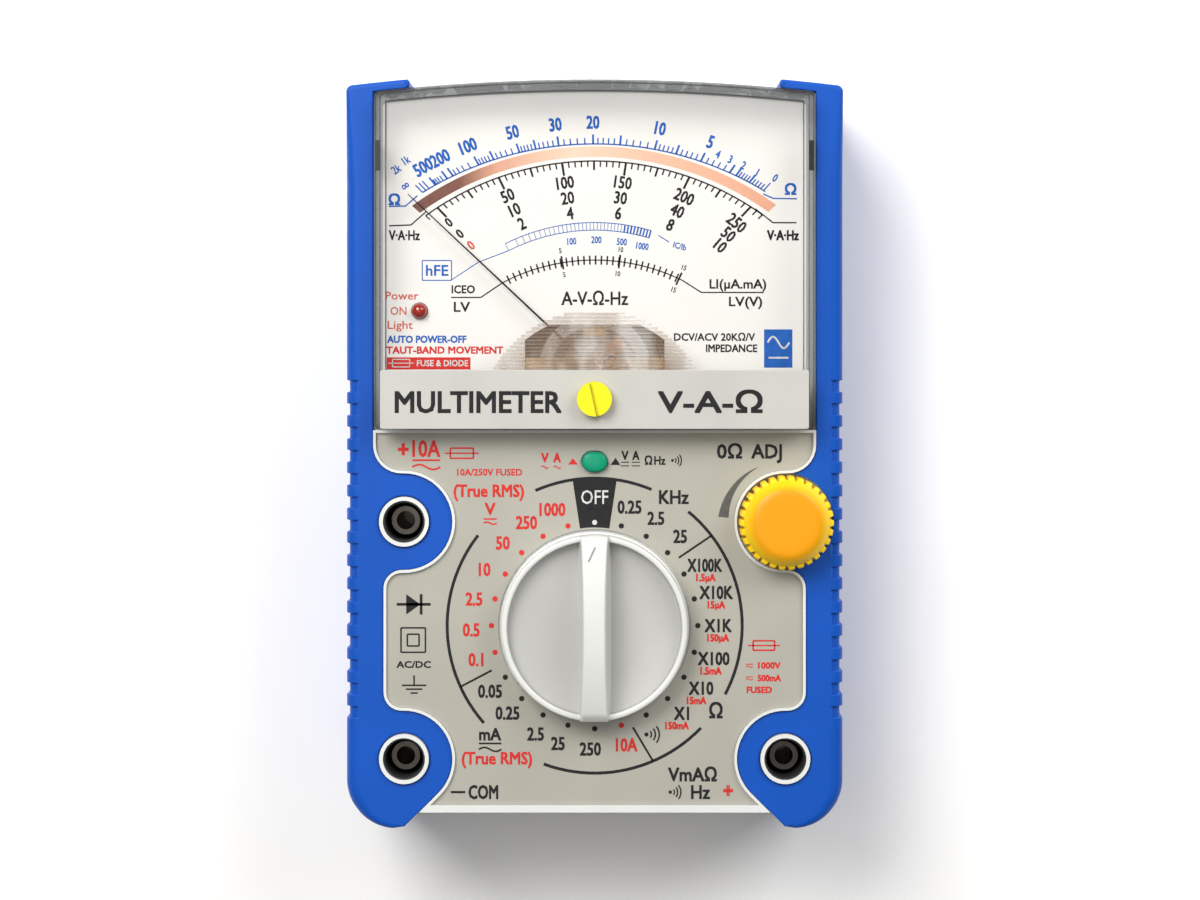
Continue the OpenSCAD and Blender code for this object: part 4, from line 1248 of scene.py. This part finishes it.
def ohm_fraction(r):
    """Share of the sweep at r ohms: halfway at the middle value, and a little stretched towards zero."""
    f = 20.0 / (r + 20.2)
    return f + (0.22 * (f - 0.5) * (1.03 - f) if f > 0.5 else 0)


def ohm_name(p, f, words, lift, height, bold):
    a = scale_angle(f)
    p.text("blue", words, *on_arc(OHM_ARC, a, lift), height, -a * 0.75, narrow=0.72, bold=bold)


def print_ohm_scale(p):
    scale_line(p, "blue", OHM_ARC, 0, 1, 0.3)
    for low, high, step in ((0, 2, 0.2), (2, 5, 0.5), (5, 10, 0.5), (10, 20, 1), (20, 50, 2), (50, 100, 5),
                            (100, 200, 20), (200, 500, 50)):
        for i in range(1, round((high - low) / step) + 1):
            r = low + i * step
            fives = r / (step * 5)
            whole = abs(fives - round(fives)) < 1e-6
            tick(p, "blue", OHM_ARC, ohm_fraction(r), 2.1 if whole else 1.35, 0.44 if whole else 0.3)
    for r in (0, 1000, 2000, 1e9):
        tick(p, "blue", OHM_ARC, ohm_fraction(r), 2.2, 0.3)
    for r in range(5):
        ohm_name(p, ohm_fraction(r), str(r), 2.8 if r else 3.7, 1.75, 0.1)
    for r in (5, 10, 20, 30, 50, 100, 200, 500):
        ohm_name(p, ohm_fraction(r) + (0.006 if r == 500 else 0), str(r), 4.8, 2.75, 0.2)
    for words, x, y in (("1k", -41.9, 65.1), ("2k", -44.1, 63.1), ("∞", -42.1, 59.4)):
        p.text("blue", words, x, y, 1.8, 34, narrow=0.72, bold=0.08)
    p.line("blue", [(-39.4, 57.2), (-42.0, 54.9), (-45.7, 54.8)], 0.3)
    p.line("blue", [(37.4, 57.6), (39.6, 56.6), (44.9, 56.5)], 0.3)
    p.texts("blue", 0.2, ("Ω", -44.5, 56.3, 2.3, 2.6), ("Ω", 43.5, 58.6, 2.3, 2.6))


def print_volt_scale(p):
    scale_line(p, "black", VOLT_ARC, -0.04, 1.04, 0.32)
    tick(p, "black", VOLT_ARC, -0.04, -1.3, 0.28)
    for i in range(53):
        length, width = (-2.9, 0.5) if i % 10 == 0 else (-2.0, 0.45) if i % 5 == 0 else (-1.3, 0.33)
        tick(p, "black", VOLT_ARC, i / 50, length, width)
    for row, top in enumerate((250, 50, 10)):
        for i in range(6):
            ink = "rose" if row == 2 and i == 0 else "black"
            shift = (-0.65, 0, 0, 0, 1.0, 0.3 + 0.65 * row)[i]
            depth = 4.85 + 3.45 * row - (0.4 if i < 4 else 0)
            a = scale_angle(i / 5)
            x, y = on_arc(VOLT_ARC, a, -depth)
            words, tall = str(round(top * i / 5)), 2.6 if i else 2.1
            p.text(ink, words, x + shift, y, tall, -a * 0.92, narrow=0.78, bold=0.16)
    p.line("black", [(-37.4, 53.7), (-40.8, 50.7), (-45.7, 50.5)], 0.3)
    p.line("black", [(35.6, 54.3), (39.6, 51.2), (44.8, 51.2)], 0.3)
    p.texts("black", 0.14, ("V·A·Hz", -42.3, 48.4, 2.1, 6.9))
    p.texts("black", 0.2, ("V·A·Hz", 41.8, 48.4, 2.1, 7.1))


def print_mirror(p):
    n = 60
    half = 1.15
    for i in range(n):
        a0, a1 = (scale_angle(-0.045 + 1.09 * k / n) for k in (i, i + 1))
        corners = ((a0, -half), (a1, -half), (a1, half), (a0, half))
        p.polygon("mirror", [on_arc(MIRROR_ARC, a, d) for a, d in corners])


def arc_by_x(curve, x, lift=0.0):
    """Point on a scale arc over x, or lift outside it."""
    r = curve[0] + lift
    return x * r / curve[0], curve[1] + math.sqrt(max(0, r * r - (x * r / curve[0]) ** 2))


def arc_points(curve, x0, x1, n, lift=0.0):
    return [arc_by_x(curve, x, lift) for x in even(x0, x1, n)]


def cross_tick(p, ink, curve, x, low, high, width):
    p.bar(ink, arc_by_x(curve, x, low), arc_by_x(curve, x, high), width)


def print_gain_scale(p):
    """Transistor gain ladder."""
    low, high = -1.75, -0.05
    x0, x1 = -19.9, 12.5
    for lift in (low, high):
        p.line("blue", arc_points(GAIN_ARC, x0, x1, 20, lift), 0.18)
    for i in range(36):
        x = x0 + (x1 - x0) * (i / 35) ** 0.75
        cross_tick(p, "blue", GAIN_ARC, x, low, high, 0.13 if i < 27 else 0.36)
    for x, words in ((-5.6, "100"), (0.4, "200"), (6.6, "500"), (11.6, "1000")):
        p.text("blue", words, *arc_by_x(GAIN_ARC, x, -3.9), 1.45, -x * 0.7, narrow=0.72, bold=0.08)
    p.line("blue", [arc_by_x(GAIN_ARC, x0, low), (-25.9, 42.4), (-31.8, 38.5)], 0.2)
    p.texts("blue", 0.12, ("hFE", -35.0, 40.6, 2.3, 5.0))
    p.frame("blue", -38.3, 38.4, -31.8, 42.8, 0.22)
    p.bar("blue", (14.1, 48.4), (16.5, 46.9), 0.22)
    p.text("blue", "IC/Ib", 18.9, 46.0, 1.3, -16, narrow=0.8, bold=0.06)


def print_leak_scale(p):
    """Leakage scale under the gain ladder."""
    x0, x1, pitch = -20.4, 19.5, 1.29
    p.line("black", arc_points(LEAK_ARC, x0, x1, 24), 0.25)
    count = round((x1 - x0) / pitch)
    for x in even(x0, x1, count)[1:-1]:
        cross_tick(p, "black", LEAK_ARC, x, -1.0, 1.0, 0.36)
    for x, words in ((-7.2, "5"), (5.5, "10"), (18.7, "15")):
        cross_tick(p, "black", LEAK_ARC, x, -1.5, 1.5, 0.42)
        for lift in (-2.7, 2.7):
            p.text("black", words, *arc_by_x(LEAK_ARC, x, lift), 1.1, -x, narrow=0.8, bold=0.05)
    p.line("black", [arc_by_x(LEAK_ARC, x0), (-25.3, 34.6), (-31.9, 34.6)], 0.28)
    p.line("black", [arc_by_x(LEAK_ARC, x1), (23.7, 35.7), (37.5, 35.7)], 0.28)
    p.texts("black", 0.12, ("ICEO", -29.2, 36.4, 1.7, 5.2), ("LV", -29.5, 32.5, 2.1, 3.6),
            ("LI(µA.mA)", 31.8, 37.6, 2.0, 12.6), ("LV(V)", 33.5, 33.7, 2.0, 7.4))


def print_dial_notes(p):
    p.texts("black", 0.12, ("A-V-Ω-Hz", 0.0, 34.4, 2.9, 14.8), ("IMPEDANCE", 30.4, 23.3, 1.6, 11.4))
    p.texts("black", 0.1, ("DCV/ACV 20KΩ/V", 26.6, 25.8, 1.6, 18.0))
    p.texts("rose", 0.05, ("Power", -42.8, 35.0, 1.75, 7.4), ("ON", -43.6, 31.6, 1.75, 3.6),
            ("Light", -43.2, 28.5, 1.75, 5.6))
    p.texts("blue", 0.14, ("AUTO POWER-OFF", -37.3, 25.3, 1.5, 17.6))
    p.texts("red", 0.14, ("TAUT-BAND MOVEMENT", -33.3, 22.9, 1.5, 26.0))
    p.box("red", -46.2, 18.6, -27.6, 21.3)
    p.box("blue", 37.6, 19.0, 43.9, 27.5)
    p.z += Print.THICK
    fuse_sign(p, "white", -45.8, -40.2, 20.0, 0.22)
    p.texts("white", 0.08, ("FUSE & DIODE", -33.8, 20.0, 1.3, 11.4))
    p.wave("white", 40.8, 24.6, 4.8, 1.3, 0.4, 14)
    p.flat("white", 40.8, 21.2, 2.2, 0.4)


def print_dial():
    p = Print(DIAL_Z)
    print_mirror(p)
    print_ohm_scale(p)
    print_volt_scale(p)
    print_gain_scale(p)
    print_leak_scale(p)
    print_dial_notes(p)
    p.finish("dial_print")


# ---------------------------------------------------------------- floor, light and camera
def make_stage():
    """Pale cloth-like floor, far larger than the view and a hair below the boot."""
    mesh = bpy.data.meshes.new("floor")
    half = 2.0
    corners = [(-half, -half, 0), (half, -half, 0), (half, half, 0), (-half, half, 0)]
    mesh.from_pydata(corners, [], [(0, 1, 2, 3)])
    floor = add_object("floor", mesh)
    floor.location.z = -0.0002
    cloth = Paint("floor_cloth", 0.85).colour((0.94, 0.94, 0.94), 0.01, 0.02)
    cloth.grain(1.2, 0.1, 0.12)
    mesh.materials.append(cloth.mat)


def area_light(name, place, size, power, colour):
    """Square light that shines at the middle of the object."""
    data = bpy.data.lights.new(name, "AREA")
    data.energy = power
    data.size = size
    data.color = colour
    light = add_object(name, data)
    light.location = place
    light.rotation_euler = (Vector((0, 0, 0.02)) - Vector(place)).to_track_quat("-Z", "Y").to_euler()


def make_light():
    """Soft daylight from both sides of the dial end, stronger from the left, and a little from above."""
    world = bpy.data.worlds.new("studio")
    world.use_nodes = True
    back = world.node_tree.nodes["Background"]
    back.inputs["Color"].default_value = (1.0, 0.985, 0.95, 1)
    back.inputs["Strength"].default_value = 0.26
    bpy.context.scene.world = world
    area_light("window_left", (-0.37, 0.47, 0.70), 0.50, 8.0, (1.0, 0.985, 0.96))
    area_light("window_right", (0.58, 0.55, 0.62), 0.55, 5.5, (0.99, 0.985, 0.98))
    area_light("skylight", (-0.12, 0.06, 0.80), 0.50, 1.0, (1.0, 0.985, 0.96))


def make_camera():
    """Straight above the object, with the picture plane level and shifted to centre it."""
    distance = 0.550
    data = bpy.data.cameras.new("camera")
    data.sensor_width = 36
    data.lens = 74.67
    data.shift_x = -0.0095
    data.shift_y = -0.0750
    camera = add_object("camera", data)
    camera.location = (0.0037, 0.0207, BOOT_HIGH.z * MM + distance)
    bpy.context.scene.camera = camera


make_camera()
make_stage()
make_light()
bpy.context.scene.view_settings.view_transform = "Standard"
dress_cad()
make_boot()
make_selector()
make_ohm_knob()
make_button()
make_lens()
make_name_strip()
make_ribs()
print_panel()
print_strip()
print_dial()
